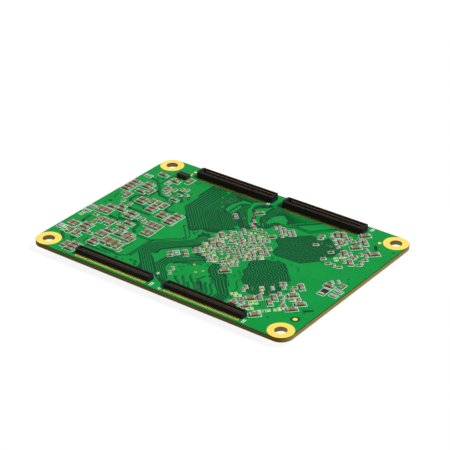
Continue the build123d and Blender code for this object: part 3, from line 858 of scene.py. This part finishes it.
# Parallel tracks: the first one's corners, each corner's step from track to track, and their number
bundles = {
    "copper_tracks": [
        ([(-16.75, 20.2), (-16.75, 8.25), (-8.9, 0.4)], [(0.72, 0), (0.72, 0.14), (0.45, 0.41)], 7),
        ([(11.6, 20.2), (8.0, 16.6)], [(-0.5, 0), (-0.32, 0.18)], 15),
        ([(13.1, 20.2), (9.2, 16.3), (9.2, 15.4), (13.6, 15.4), (18.2, 20.0)],
         [(-0.5, 0), (-0.35, -0.15), (-0.3, -0.3), (0.15, -0.3), (0.55, 0)], 3),
        ([(5.2, 13.9), (6.9, 14.1), (8.4, 15.5)], [(0.3, -0.4), (0.3, -0.3), (0.1, -0.35)], 3),
        ([(-4.6, -0.6), (-4.9, -2.8), (-11.7, -9.6), (-11.7, -14.75), (-5.35, -21.1)],
         [(0.4, 0), (0.42, -0.3), (0.62, -0.26), (0.62, 0.08), (0.7, 0)], 5),
        ([(-1.3, -8.3), (-5.75, -12.75), (-5.75, -16.75), (-1.4, -21.1)],
         [(0.75, -0.15), (0.62, -0.2), (0.62, 0.1), (0.72, 0)], 5),
        ([(2.4, -9.4), (-1.8, -13.3)], [(0.25, -0.45), (0.5, -0.05)], 3),
    ],
    "broad_copper_tracks": [
        ([(5.0, -9.4), (5.1, -10.9), (7.5, -13.4), (9.1, -14.1), (10.0, -15.3), (13.1, -18.4),
          (13.1, -21.1)],
         [(0.6, 0.1), (0.6, 0.15), (0.65, 0.3), (0.7, 0.35), (0.75, 0.3), (0.7, 0.3), (0.7, 0)], 4),
    ],
    "thin_copper_tracks": [
        ([(-12.1, 20.2), (-12.1, 9.55), (-5.3, 2.75)], [(0.4, 0), (0.4, 0.17), (0.317, 0.253)], 7),
        ([(-8.7, 10.5), (-2.5, 4.3)], [(0.42, 0.16), (0.2, 0.38)], 9),
        ([(-9.3, 20.2), (-9.3, 18.9)], [(0.42, 0), (0.42, 0)], 11),
        ([(-6.9, 17.0), (-5.4, 16.3), (-5.4, 14.0), (0.4, 8.2)],
         [(0.42, 0.1), (0.42, 0.1), (0.42, 0.1), (0.3, 0.22)], 6),
        ([(-9.2, 18.6), (-9.2, 13.7)], [(0.4, 0), (0.4, 0)], 2),
        ([(-9.3, 12.1), (-9.3, 11.3), (-8.6, 10.6)], [(0.4, 0.1), (0.4, 0), (0.3, 0.1)], 3),
        ([(0.9, 20.2), (0.9, 14.4), (4.1, 11.2)], [(0.45, 0), (0.45, 0.2), (0.27, 0.38)], 5),
        ([(3.2, 20.2), (3.2, 18.0)], [(0.42, 0), (0.42, 0.2)], 4),
    ],
}


def bundle(path, steps, count):
    return [[(x + dx * i, y + dy * i) for (x, y), (dx, dy) in zip(path, steps)] for i in range(count)]


wander = {"folded": 0.55, "swing": 1.6, "foldWaves": ((0.21, 0.6), (-0.09, 0.25)),
          "bendWaves": ((0.11, 0.05), (0.29, 0.4)), "lesserBend": 0.3, "leastPoints": 4,
          "tracks": 30, "steps": 70}  # tracks and steps on either side of the middle


# Tracks that wander across a clearing in parallel, each folded to and fro here and there
def meanders(outline, turn, pitch, step, reach, drift):
    c, s = cos(radians(turn)), sin(radians(turn))
    middleX = sum(x for x, y in outline) / len(outline)
    middleY = sum(y for x, y in outline) / len(outline)
    found, steps = [], wander["steps"]
    for i in range(-wander["tracks"], wander["tracks"] + 1):
        path = []
        for k in range(-steps, steps + 2):
            one, other = (sin(a * k + b * i) for a, b in wander["foldWaves"])
            patch = wander["folded"] + wander["swing"] * one * other
            fold = reach * (1 if (k // 2 + i // 2) % 2 else -1) * max(0, min(1, patch))
            one, other = (sin(a * k + b * i) for a, b in wander["bendWaves"])
            bend = drift * (one + wander["lesserBend"] * other) + fold
            a, b = k * step, i * pitch + bend
            x, y = middleX + a * c - b * s, middleY + a * s + b * c
            if k <= steps and insideOf(x, y, outline):
                path.append((x, y))
            else:  # a path ends at the outline, or with the last step
                if len(path) >= wander["leastPoints"]:
                    found.append(path)
                path = []
    return found


tracks = {name: [path for row in rows for path in bundle(*row)] for name, rows in bundles.items()}
tracks["fine_copper_tracks"] = meanders(
    clearings["lowerMemory"], turn=-56, pitch=0.6, step=0.3, reach=0.17, drift=1.0)
tracks["finest_copper_tracks"] = meanders(
    clearings["upperMemory"], turn=62, pitch=0.6, step=0.27, reach=0.22, drift=0.6)
for name, paths in tracks.items():
    flatStrips(name, paths, trackWidth[name], copperHigh["track"], "maskOverCopper")

thinGaps = [
    [(-11.3, 0.4), (-10.9, 0.85), (-10.4, 0.85), (-7.3, -2.25), (-7.0, -3.0), (-7.0, -4.5)],
    [(-11.3, 0.4), (-7.75, -3.15), (-7.5, -4.5)],
    [(-15.7, -12.4), (-15.7, -17.2), (-16.7, -18.3), (-20.6, -18.3)],
    [(-28.4, 20.8), (-28.3, 17.0), (-28.3, 13.2)],
    [(-30.6, 17.9), (-30.4, 18.4), (-29.4, 18.4), (-29.0, 17.9)],
    [(-31.2, 15.6), (-30.4, 15.0), (-29.5, 15.1), (-29.0, 15.7)],
    [(-26.8, -3.6), (-26.4, -4.7), (-25.4, -5.6)],
    [(-18.2, -0.1), (-16.9, -1.5)],
    [(-33.5, 4.2), (-33.2, 2.2), (-32.6, 1.4)],
    [(-25.2, -16.6), (-25.0, -18.4), (-24.3, -19.2)],
    [(-27.7, -17.8), (-27.7, -20.0)],
    [(13.2, -11.2), (13.2, -12.6), (15.0, -14.4), (15.0, -17.2), (17.4, -19.8)],
    [(-21.9, 18.9), (-21.9, 18.4), (-20.9, 18.3), (-20.8, 19.4)],
    [(24.4, 17.2), (24.4, 15.8)],
    [(-22.0, 7.2), (-22.0, 6.4)],
    [(-9.6, 18.9), (-8.6, 19.5)],
    [(-12.9, -9.2), (-7.4, -3.7)],
    [(-12.9, -9.9), (-7.2, -4.4)],
    [(-7.6, 0.6), (-6.9, 0.4), (-6.7, -0.4), (-7.2, -0.9)],
    [(-7.9, -0.4), (-7.4, -0.8), (-6.6, -1.6)],
    [(-29.7, 15.4), (-29.4, 16.2), (-29.4, 17.6)],
    [(-22.6, 7.6), (-21.8, 7.7), (-21.4, 7.0)],
]
thinGaps += bundle([(-13.3, -10.1), (-12.1, -10.2)], [(0, -0.4), (0, -0.4)], 19)
thinGaps += bundle([(-16.9, -9.0), (-16.9, -9.8)], [(0.4, 0), (0.4, 0)], 12)
wideGaps = [
    [(-31.9, 14.15), (-30.0, 14.15), (-28.8, 13.1), (-26.9, 11.3), (-26.3, 10.1), (-24.6, 8.5), (-21.4, 8.4),
     (-19.9, 7.8), (-19.6, 6.4), (-19.5, 4.2), (-18.3, 3.3), (-16.8, 4.0)],
    [(-21.8, 11.2), (-20.4, 11.0), (-18.3, 8.8)],
    [(-26.4, 10.2), (-26.6, 7.3), (-27.9, 6.3), (-29.1, 5.0), (-29.2, 3.2), (-28.5, 2.2), (-24.2, 2.0),
     (-22.9, 0.6)],
    [(-27.3, -0.4), (-20.5, -0.4)],
    [(-25.4, -5.6), (-23.4, -5.5), (-20.8, -4.6), (-19.6, -5.6), (-19.3, -7.8), (-18.0, -8.8)],
    [(-28.0, -6.15), (-25.4, -6.2), (-24.3, -7.1)],
    [(-31.5, -8.5), (-31.3, -11.8)],
    [(-31.7, -18.1), (-29.3, -20.6)],
    [(-28.7, -18.8), (-27.4, -18.8)],
    [(-22.4, 12.7), (-20.0, 12.4)],
    [(-22.9, 11.5), (-22.4, 10.3)],
    [(-18.7, 11.9), (-17.8, 10.6)],
    [(-22.2, -4.6), (-20.9, -4.6)],
]
broadGaps = [
    [(3.6, -15.8), (3.9, -16.6), (5.25, -17.75), (6.1, -18.3), (7.9, -20.1), (7.9, -20.9)],
    [(6.3, -14.6), (6.1, -15.7), (5.9, -16.4), (6.5, -17.0), (9.3, -19.8), (9.3, -20.9)],
    [(8.2, -14.8), (9.0, -15.2), (9.3, -15.9), (9.5, -16.9), (11.7, -19.1), (11.9, -20.0), (11.9, -20.9)],
    [(8.0, -16.4), (8.5, -17.4), (10.7, -19.6), (10.9, -20.9)],
    [(6.9, -16.6), (7.4, -17.4), (9.9, -19.9), (10.1, -20.9)],
    [(6.2, -17.4), (8.4, -19.6), (8.6, -20.9)],
    [(2.3, -17.2), (3.0, -18.0), (4.9, -19.9), (5.0, -20.9)],
    [(1.0, -18.2), (1.8, -19.1), (3.4, -20.0), (3.8, -20.9)],
    [(4.7, -18.6), (5.6, -19.5), (6.2, -20.2), (6.4, -20.9)],
    [(-19.8, -18.4), (-14.6, -18.7), (-12.9, -17.6)],
    [(-23.4, -19.4), (-17.2, -19.4)],
    [(-11.4, -18.5), (-10.6, -18.9)],
    [(-10.2, -18.3), (-9.4, -19.1)],
    [(-9.6, -19.5), (-8.8, -19.9)],
    [(-14.9, -19.5), (-13.9, -19.8)],
]
gapWidth = {"thin": 0.26, "broad": 0.64, "wide": 0.82}
flatStrips("track_gaps", thinGaps, gapWidth["thin"], copperHigh["gap"], "maskOverLaminate")
flatStrips("broad_track_gaps", broadGaps, gapWidth["broad"], copperHigh["gap"], "maskOverGap")
flatStrips("wide_track_gaps", wideGaps, gapWidth["wide"], copperHigh["gap"], "maskOverGap")
print("tracks laid:", sum(len(paths) for paths in tracks.values()))

# Small plated holes, test pads and targets

spots = {"clearing": (0.3, 10), "filled": (0.13, 8), "hole": (0.1, 8), "hiddenHole": (0.12, 8),
         "testPad": (0.31, 16)}  # radius and sides
spotHigh = {"via": 0.036, "pad": 0.04}
coveredHoles = [  # dark rings in the copper, with a small filled hole in each
    (0.5, -13.0), (1.1, -12.5), (-0.8, -13.1), (-0.7, -14.7), (0.5, -15.4), (0.1, -14.1), (2.6, -11.2),
    (4.6, -15.0), (0.1, -16.8), (1.4, -18.3), (2.6, -17.5), (4.9, -18.8), (6.3, -14.6), (8.2, -15.0),
    (8.1, -16.7), (5.4, -16.6), (4.0, -10.5), (9.8, -10.6), (11.4, -10.6), (10.9, -8.4), (11.6, -9.0),
    (12.4, -9.8), (15.3, 0.3), (18.7, 0.5), (20.6, 0.3), (21.2, -0.5), (23.4, 5.4), (33.0, 1.4),
    (32.9, -12.2), (32.3, -12.9), (31.4, -13.3), (32.1, -14.0), (30.5, -14.8), (15.8, -15.8), (22.8, -17.2),
    (10.3, 17.9), (-33.2, -1.5), (-14.4, -19.8), (-12.8, -19.6), (-16.8, -19.4), (-20.4, 10.9),
    (-19.1, 13.6), (-18.6, 8.4), (13.3, 0.8), (13.8, 0.1), (24.3, -9.2), (30.6, -14.2), (-21.0, -0.3),
    (33.9, 18.3), (32.0, 3.0), (16.4, 20.0), (26.9, -19.9), (25.0, -16.4), (22.7, -6.2),
]


def grid(x, y, stepX, stepY, columns, rows):  # places at even distances, column after column
    return [(x + stepX * i, y + stepY * j) for i in range(columns) for j in range(rows)]


stitched = grid(17.9, 20.6, 2.0, -2.0, 9, 22) + grid(-34.2, 16.0, 0, -2.0, 1, 16)
stitched += grid(-25.0, 24.9, 3.0, 0, 17, 1)
keepOff = {"chip": 0.25, "hole": 3.4, "target": 0.4, "edgeX": 34.4, "edgeY": 25.0, "hiddenChip": 0.5,
           "hiddenX": 34.0, "hiddenY": 24.6}
connectorBands = [(19.7, 24.5, 24.2), (-25.4, -20.8, 24.0)]  # from and to in Y, and to in X


def nearHole(x, y):
    return hypot(abs(x) - board["holeX"], abs(y) - board["holeY"]) < keepOff["hole"]


def onOpenCopper(x, y):  # clear of chips, clearings, lands and connectors
    if abs(x) > keepOff["edgeX"] or abs(y) > keepOff["edgeY"] or nearHole(x, y):
        return False
    if any(first < y < last and x < reach for first, last, reach in connectorBands):
        return False
    rounds = [(c.x, c.y, chipKinds[c.kind]["frame"][0] / 2 + keepOff["chip"]) for c in chips]
    rounds += [(a, b, clearing + keepOff["target"]) for a, b, disc, clearing in targets]
    if any(hypot(x - a, y - b) < reach for a, b, reach in rounds):
        return False
    return not any(insideOf(x, y, outline) for outline in clearings.values())


openHoles = [place for place in stitched if onOpenCopper(*place)]
testPads = [(1.4, -12.0), (4.65, -13.05), (3.6, -14.4)]
discs = [circlePath(x, y, disc, targetSides) for x, y, disc, clearing in targets]
flatDiscs("hole_clearings", coveredHoles, *spots["clearing"], spotHigh["via"], "maskOverLaminate")
flatDiscs("filled_holes", coveredHoles, *spots["filled"], spotHigh["pad"], "maskOverCopper")
flatDiscs("stitching_holes", openHoles, *spots["hole"], spotHigh["via"], "viaHole")
flatArea("targets", discs, spotHigh["pad"], "plating")
flatDiscs("test_pads", testPads, *spots["testPad"], spotHigh["pad"], "warmPads", "gold_plating")


tick = {"width": 0.14, "falling": (0.13, -0.34), "rising": (0.1, 0.22)}


def strokes(places, reachX, reachY):  # a short slanting stroke over each place
    return [[(x - reachX, y - reachY), (x + reachX, y + reachY)] for x, y in places]


fallingTicks = [
    (-12.05, 16.4), (-10.85, 14.4), (-10.4, 17.3), (-10.4, 15.9), (-9.7, 17.2), (-9.5, 15.8), (-8.9, 17.2),
    (-8.0, 17.2), (-2.2, 11.5), (2.0, 13.4), (4.7, 16.0), (4.15, 15.1), (18.7, 12.4), (19.9, 12.6),
    (21.3, 12.5), (22.4, 8.2), (-22.9, 11.4), (-22.4, 10.4), (-18.4, 13.6), (-18.3, 11.1), (-19.7, 9.9),
    (-18.2, 8.5), (1.2, -4.3), (0.3, -4.2), (-0.6, -5.0), (3.4, -9.2), (16.9, 15.0),
]
risingTicks = [
    (22.8, 11.9), (23.2, 12.15), (23.6, 12.4), (22.4, 11.6), (-1.6, -9.35), (-1.25, -9.05), (9.2, 5.5),
    (9.6, 5.75),
]
ticks = strokes(fallingTicks, *tick["falling"]) + strokes(risingTicks, *tick["rising"])
ticks += [[(-2.35, 14.8), (-0.75, 13.0)], [(-2.0, 14.9), (-0.4, 13.1)], [(17.1, -12.0), (17.9, -13.0)],
          [(20.2, -8.2), (21.2, -9.3)], [(21.0, -11.3), (22.1, -12.4)], [(20.7, -13.2), (21.1, -13.7)],
          [(4.0, -14.6), (4.6, -15.0)]]
flatStrips("bare_track_ends", ticks, tick["width"], spotHigh["pad"], "dimPads")
print("holes, pads and targets placed")

# Pads of empty places, pads of the regulator and printed marks

emptyFalling = [(25.1, 8.45), (9.8, 11.3), (19.2, -11.3), (21.4, -16.7), (20.6, -17.4)]
emptyRising = [
    (25.8, 10.0), (16.8, -16.8), (15.6, -16.6), (26.8, -16.4), (27.2, -15.4), (25.2, -18.0), (24.5, -18.7),
    (23.8, -19.6), (27.4, -11.2), (21.9, -19.5),
]
emptyUpright = [(-33.7, -9.1), (-32.9, -15.7), (-32.2, -17.0)]
emptyTurned = [
    (0.1, 8.5), (3.8, 7.6), (8.7, 7.6), (5.2, 6.4), (5.2, 5.6), (7.4, 4.5), (-3.1, 3.4), (-1.4, 1.4),
    (9.6, 1.0), (-0.4, 0.0), (0.8, 0.0), (10.7, -1.1), (2.5, -2.4), (5.5, -2.7), (6.6, -2.7), (8.4, -2.7),
    (1.0, -3.8), (2.0, -3.7), (5.5, -4.1), (3.7, -4.9),
]
falling, rising = -pi / 4, pi / 4
emptyPlaces = [(x, y, falling) for x, y in emptyFalling] + [(x, y, rising) for x, y in emptyRising]
emptyPlaces += [(x, y, pi / 2) for x, y in emptyUpright]
half = sqrt(0.5)  # these are given in the turned directions of the processor's field
emptyPlaces += [((a + b) * half, (b - a) * half, falling) for a, b in emptyTurned]
footprint = {"pad": (0.42, 0.48), "padShift": 0.42, "uprightShare": 0.7, "high": 0.042,
             "frame": (1.55, 0.88), "loose": (0.6, 0.42), "lead": (0.5, 0.75), "middleLead": (0.42, 0.5)}
ink = {"width": 0.17, "thin": 0.1, "mark": 0.26, "hidden": 0.15, "hiddenGap": 0.75, "high": 0.05}

loosePads = [
    (5.7, 6.5), (4.0, 7.3), (3.3, 6.8), (-0.15, 4.9), (-0.25, 2.5), (-0.55, 0.85), (0.5, -0.3),
    (-2.2, 1.35), (4.0, 3.3), (3.8, 1.5), (3.7, 0.85), (7.7, 3.0), (7.9, 1.15), (7.35, 0.6), (8.0, -0.6),
    (8.7, -1.25), (8.2, -1.9), (9.6, -2.3), (11.4, -0.5), (10.7, -0.4), (-1.4, -3.65), (-0.55, -4.2),
    (-0.25, -3.2), (-2.1, -3.0), (0.7, -6.35), (1.7, -5.5), (2.45, -6.25), (3.7, -7.6), (7.35, -5.7),
    (6.4, -8.0), (7.2, -7.1), (5.4, -5.1), (-1.3, -5.8), (-2.1, -7.7), (6.2, 7.1), (10.9, 2.3),
]
padPaths = [boxPath(x, y, *footprint["loose"], falling) for x, y in loosePads]
for x, y, turn in emptyPlaces:
    share = footprint["uprightShare"] if turn > rising else 1
    size = [side * share for side in footprint["pad"]]
    for way in (-footprint["padShift"], footprint["padShift"]):
        padPaths.append(boxPath(x + way * cos(turn), y + way * sin(turn), *size, turn))
flatArea("empty_pads", padPaths, footprint["high"], "barePads")

leadPads = [boxPath(x, y, *footprint["lead"]) for y in (17.65, 20.65) for x in (-26.9, -25.0)]
leadPads += [boxPath(-25.95, 20.55, *footprint["middleLead"])]
flatArea("regulator_pads", leadPads, footprint["high"], "plating")

frames, thinFrames = [], []
for chip in chips:
    outline = boxPath(chip.x, chip.y, *chipKinds[chip.kind]["frame"], chip.turn)
    (thinFrames if "centre" in chip.group else frames).append(outline)
frames += [boxPath(x, y, *footprint["frame"], turn) for x, y, turn in emptyPlaces]
flatStrips("printed_frames", frames, ink["width"], ink["high"], "ink", closed=True)
flatStrips("thin_printed_frames", thinFrames, ink["thin"], ink["high"], "ink", closed=True)

marks = [[(-2.1, 20.75), (-2.1, 19.85)], [(-1.6, 20.75), (-1.6, 19.85)],
         [(24.2, 25.0), (24.2, 23.6)], [(24.65, 25.0), (24.65, 23.6)],
         [(-3.0, -19.3), (-2.3, -19.6)], [(-3.0, -19.8), (-2.3, -20.1)],
         [(-1.2, -23.3), (-1.2, -24.8)], [(-0.75, -23.3), (-0.75, -24.8)],
         [(1.1, -24.1), (2.0, -24.45)], [(1.1, -24.5), (1.9, -24.8)],
         [(23.5, -23.5), (23.5, -24.9)], [(23.95, -23.5), (23.95, -24.9)],
         [(-25.3, 21.9), (-25.15, 21.2)]]
flatStrips("printed_marks", marks, ink["mark"], ink["high"], "ink")
print("pads and printed marks placed")

# The hidden side's chips

mould = {"substrate": 0.26, "thin": 0.12, "shelf": 0.05, "thinShelf": 0.015, "draft": 0.985, "rim": 0.12,
         "dimple": 0.35, "dimpleDeep": 0.03, "dimpleIn": 0.9, "dimpleSides": 24, "softening": 0.03,
         "slack": 0.01}
edgePad = {"pitch": 0.5, "size": (0.24, 0.16, 0.2), "out": 0.03, "toe": 0.14, "toeShare": (1, 1, 0.3)}


# A moulded chip that hangs under the board, in place of its plain CAD block
def mouldedChip(name, node, onSubstrate, cornerY=1):
    solid = readSolids(node)[0]
    length, width, low, high = solid.length, solid.width, solid.low, solid.high
    base = mould["substrate"] if onSubstrate else mould["thin"]
    chip = addBlock((length, width, base), (0, 0, high - base / 2))
    chip.name = name
    editFaces(chip, (0, 0, -1))
    bpy.ops.mesh.inset(thickness=mould["shelf" if onSubstrate else "thinShelf"] * mm)
    extrude(0, 0, -(high - base - low))
    resize((mould["draft"], mould["draft"], 1), (0, 0, low))
    bpy.ops.mesh.inset(thickness=mould["rim"] * mm)
    deselectAll()
    dimpleX, dimpleY = mould["dimpleIn"] - length / 2, cornerY * (width / 2 - mould["dimpleIn"])
    bpy.ops.mesh.primitive_cylinder_add(
        vertices=mould["dimpleSides"], radius=mould["dimple"] * mm, depth=2 * mould["dimpleDeep"] * mm,
        location=(dimpleX * mm, dimpleY * mm, low * mm),
    )
    cutter = bpy.context.object
    modified(chip, "BOOLEAN", operation="DIFFERENCE", solver="EXACT", object=cutter)
    discard(cutter)
    modified(chip, "BEVEL", width=mould["softening"] * mm, limit_method="ANGLE")
    chip.data.transform(seat(solid.x, solid.y, solid.turn))
    finishPiece(chip, "blackMoulding")
    if onSubstrate:
        chip.data.materials.append(finishes["greenLaminate"])
        for face in chip.data.polygons:
            face.material_index = int(face.center.z / mm > high - base - mould["slack"])
    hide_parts(node)
    return solid


# Flat metal pads along the four sides of a leadless chip
def edgePads(name, solid, count):
    pads, pitch = [], edgePad["pitch"]
    y, z = -solid.length / 2 - edgePad["out"], solid.high - edgePad["size"][2] / 2
    for side in range(4):
        pad = addBlock(edgePad["size"], (-(count - 1) * pitch / 2, y, z))
        editFaces(pad, (0, -1, 0))
        extrude(0, -edgePad["toe"], 0)
        resize(edgePad["toeShare"], (0, 0, solid.high))
        objectMode()
        inRow(pad, count, pitch).data.transform(seat(solid.x, solid.y, side * pi / 2))
        pads.append(pad)
    finishPiece(joinAll(pads, name), "solder")


mouldedChip("memory_upper_dressed", "memory_chip_upper", True, -1)
mouldedChip("memory_lower_dressed", "memory_chip_lower", True, -1)
mouldedChip("storage_dressed", "storage_chip", True)
for name, count in (("power_chip", 12), ("network_chip", 10)):
    edgePads(name + "_pads", mouldedChip(name + "_dressed", name, False), count)
mouldedChip("boot_memory_dressed", "boot_memory_chip", False)
print("moulded chips dressed")

# The hidden side's small parts, copper and marks

chipKinds["coil"] = dict(body=2.5, length=2.5, width=1.6, height=0.45, cap=0.5)
crystal = {"base": 0.5, "inset": 0.18, "lid": 0.3, "rounding": 0.04, "lidRounding": 0.07}


# A ceramic case with a rounded metal lid set in from its rim
def lidCrystals():
    bases, lids = [], []
    rim, high, lidHigh = 2 * crystal["inset"], crystal["base"], crystal["lid"]
    for solid in readSolids("clock_crystals"):
        length, width = solid.length, solid.width
        base = addBlock((length, width, high), (0, 0, high / 2))
        roundEdges(base, crystal["rounding"])
        lid = addBlock((length - rim, width - rim, lidHigh), (0, 0, high + lidHigh / 2))
        roundEdges(lid, crystal["lidRounding"], 3, (0, 0, 1))
        for piece, found in ((base, bases), (lid, lids)):
            piece.data.transform(seatUnder(solid.x, solid.y, solid.turn))
            found.append(piece)
    cases = finishPiece(joinAll(bases, "crystal_cases"), "greyCeramic")
    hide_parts("clock_crystals")
    finishPiece(joinAll(lids, "crystal_lids"), "nickelPlate")


for name, node, kinds in (("hidden_chip_ends", "hidden_side_capacitors", ("medium", "small")),
                          ("coil_terminals", "power_coils", ("coil",))):
    placeEnds(name, readChips(node, kinds), kinds, place=seatUnder)
lidCrystals()

hiddenNodes = ["hidden_side_capacitors", "power_coils", "clock_crystals", "memory_chip_upper",
               "memory_chip_lower", "storage_chip", "power_chip", "network_chip", "boot_memory_chip",
               "processor_substrate"]
hiddenSolids = [solid for node in hiddenNodes for solid in readSolids(node)]
hiddenBoxes = [(s.x, s.y, s.length, s.width, s.turn) for s in hiddenSolids]
lowerClearings = {
    "toUpperMemory": boxPath(15.9, 5.3, 7.4, 9.0, rising),
    "toLowerMemory": boxPath(16.2, -5.6, 9.0, 6.7, rising),
    "toStorage": [(-8.2, -7.9), (-6.7, -7.9), (-3.6, -4.9), (0.1, -8.8), (-4.0, -12.8), (-8.2, -12.8)],
    "toNetwork": [(-8.9, 16.0), (-4.4, 16.0), (2.2, 9.4), (-1.3, 6.1), (-6.9, 11.7), (-8.9, 11.7)],
    "toBoot": boxPath(3.9, 13.8, 4.0, 2.6),
}
flatArea("copper_areas_bottom", [pourOutline(), *lowerClearings.values()], pour["high"], "maskOverCopper",
         hidden=True)
lowerTracks = []
for name, turn in (("toUpperMemory", 45), ("toLowerMemory", -45)):
    lowerTracks += meanders(lowerClearings[name], turn, pitch=0.5, step=0.3, reach=0.16, drift=0.2)
for row in (
    ([(-8.1, -8.4), (-6.6, -8.4), (-3.47, -5.27)], [(0, -0.5), (0.3, -0.5), (0.4, -0.4)], 9),
    ([(-8.8, 15.6), (-4.6, 15.6), (1.75, 9.25)], [(0, -0.5), (-0.3, -0.5), (-0.4, -0.4)], 8),
    ([(2.4, 15.3), (2.4, 12.4)], [(0.5, 0), (0.5, 0)], 7),
):
    lowerTracks += bundle(*row)
flatStrips("lower_copper_tracks", lowerTracks, trackWidth["lower_copper_tracks"], copperHigh["track"],
           "maskOverCopper", hidden=True)


def clearUnder(x, y):
    if abs(x) >= keepOff["hiddenX"] or abs(y) >= keepOff["hiddenY"] or nearHole(x, y):
        return False
    for middleX, middleY, length, width, turn in hiddenBoxes:
        c, s = cos(turn), sin(turn)
        along, across = (x - middleX) * c + (y - middleY) * s, (y - middleY) * c - (x - middleX) * s
        if max(abs(along) - length / 2, abs(across) - width / 2) < keepOff["hiddenChip"]:
            return False
    return not any(insideOf(x, y, outline) for outline in lowerClearings.values())


openHoles = [place for place in grid(-33.4, -24.2, 2.4, 2.2, 29, 23) if clearUnder(*place)]
flatDiscs("lower_stitching_holes", openHoles, *spots["hiddenHole"], spotHigh["via"], "viaHole", hidden=True)
wider = ink["hiddenGap"]
frames = [boxPath(x, y, length + wider, width + wider, turn) for x, y, length, width, turn in hiddenBoxes]
flatStrips("lower_printed_frames", frames, ink["hidden"], ink["high"], "ink", hidden=True, closed=True)
print("hidden side dressed")
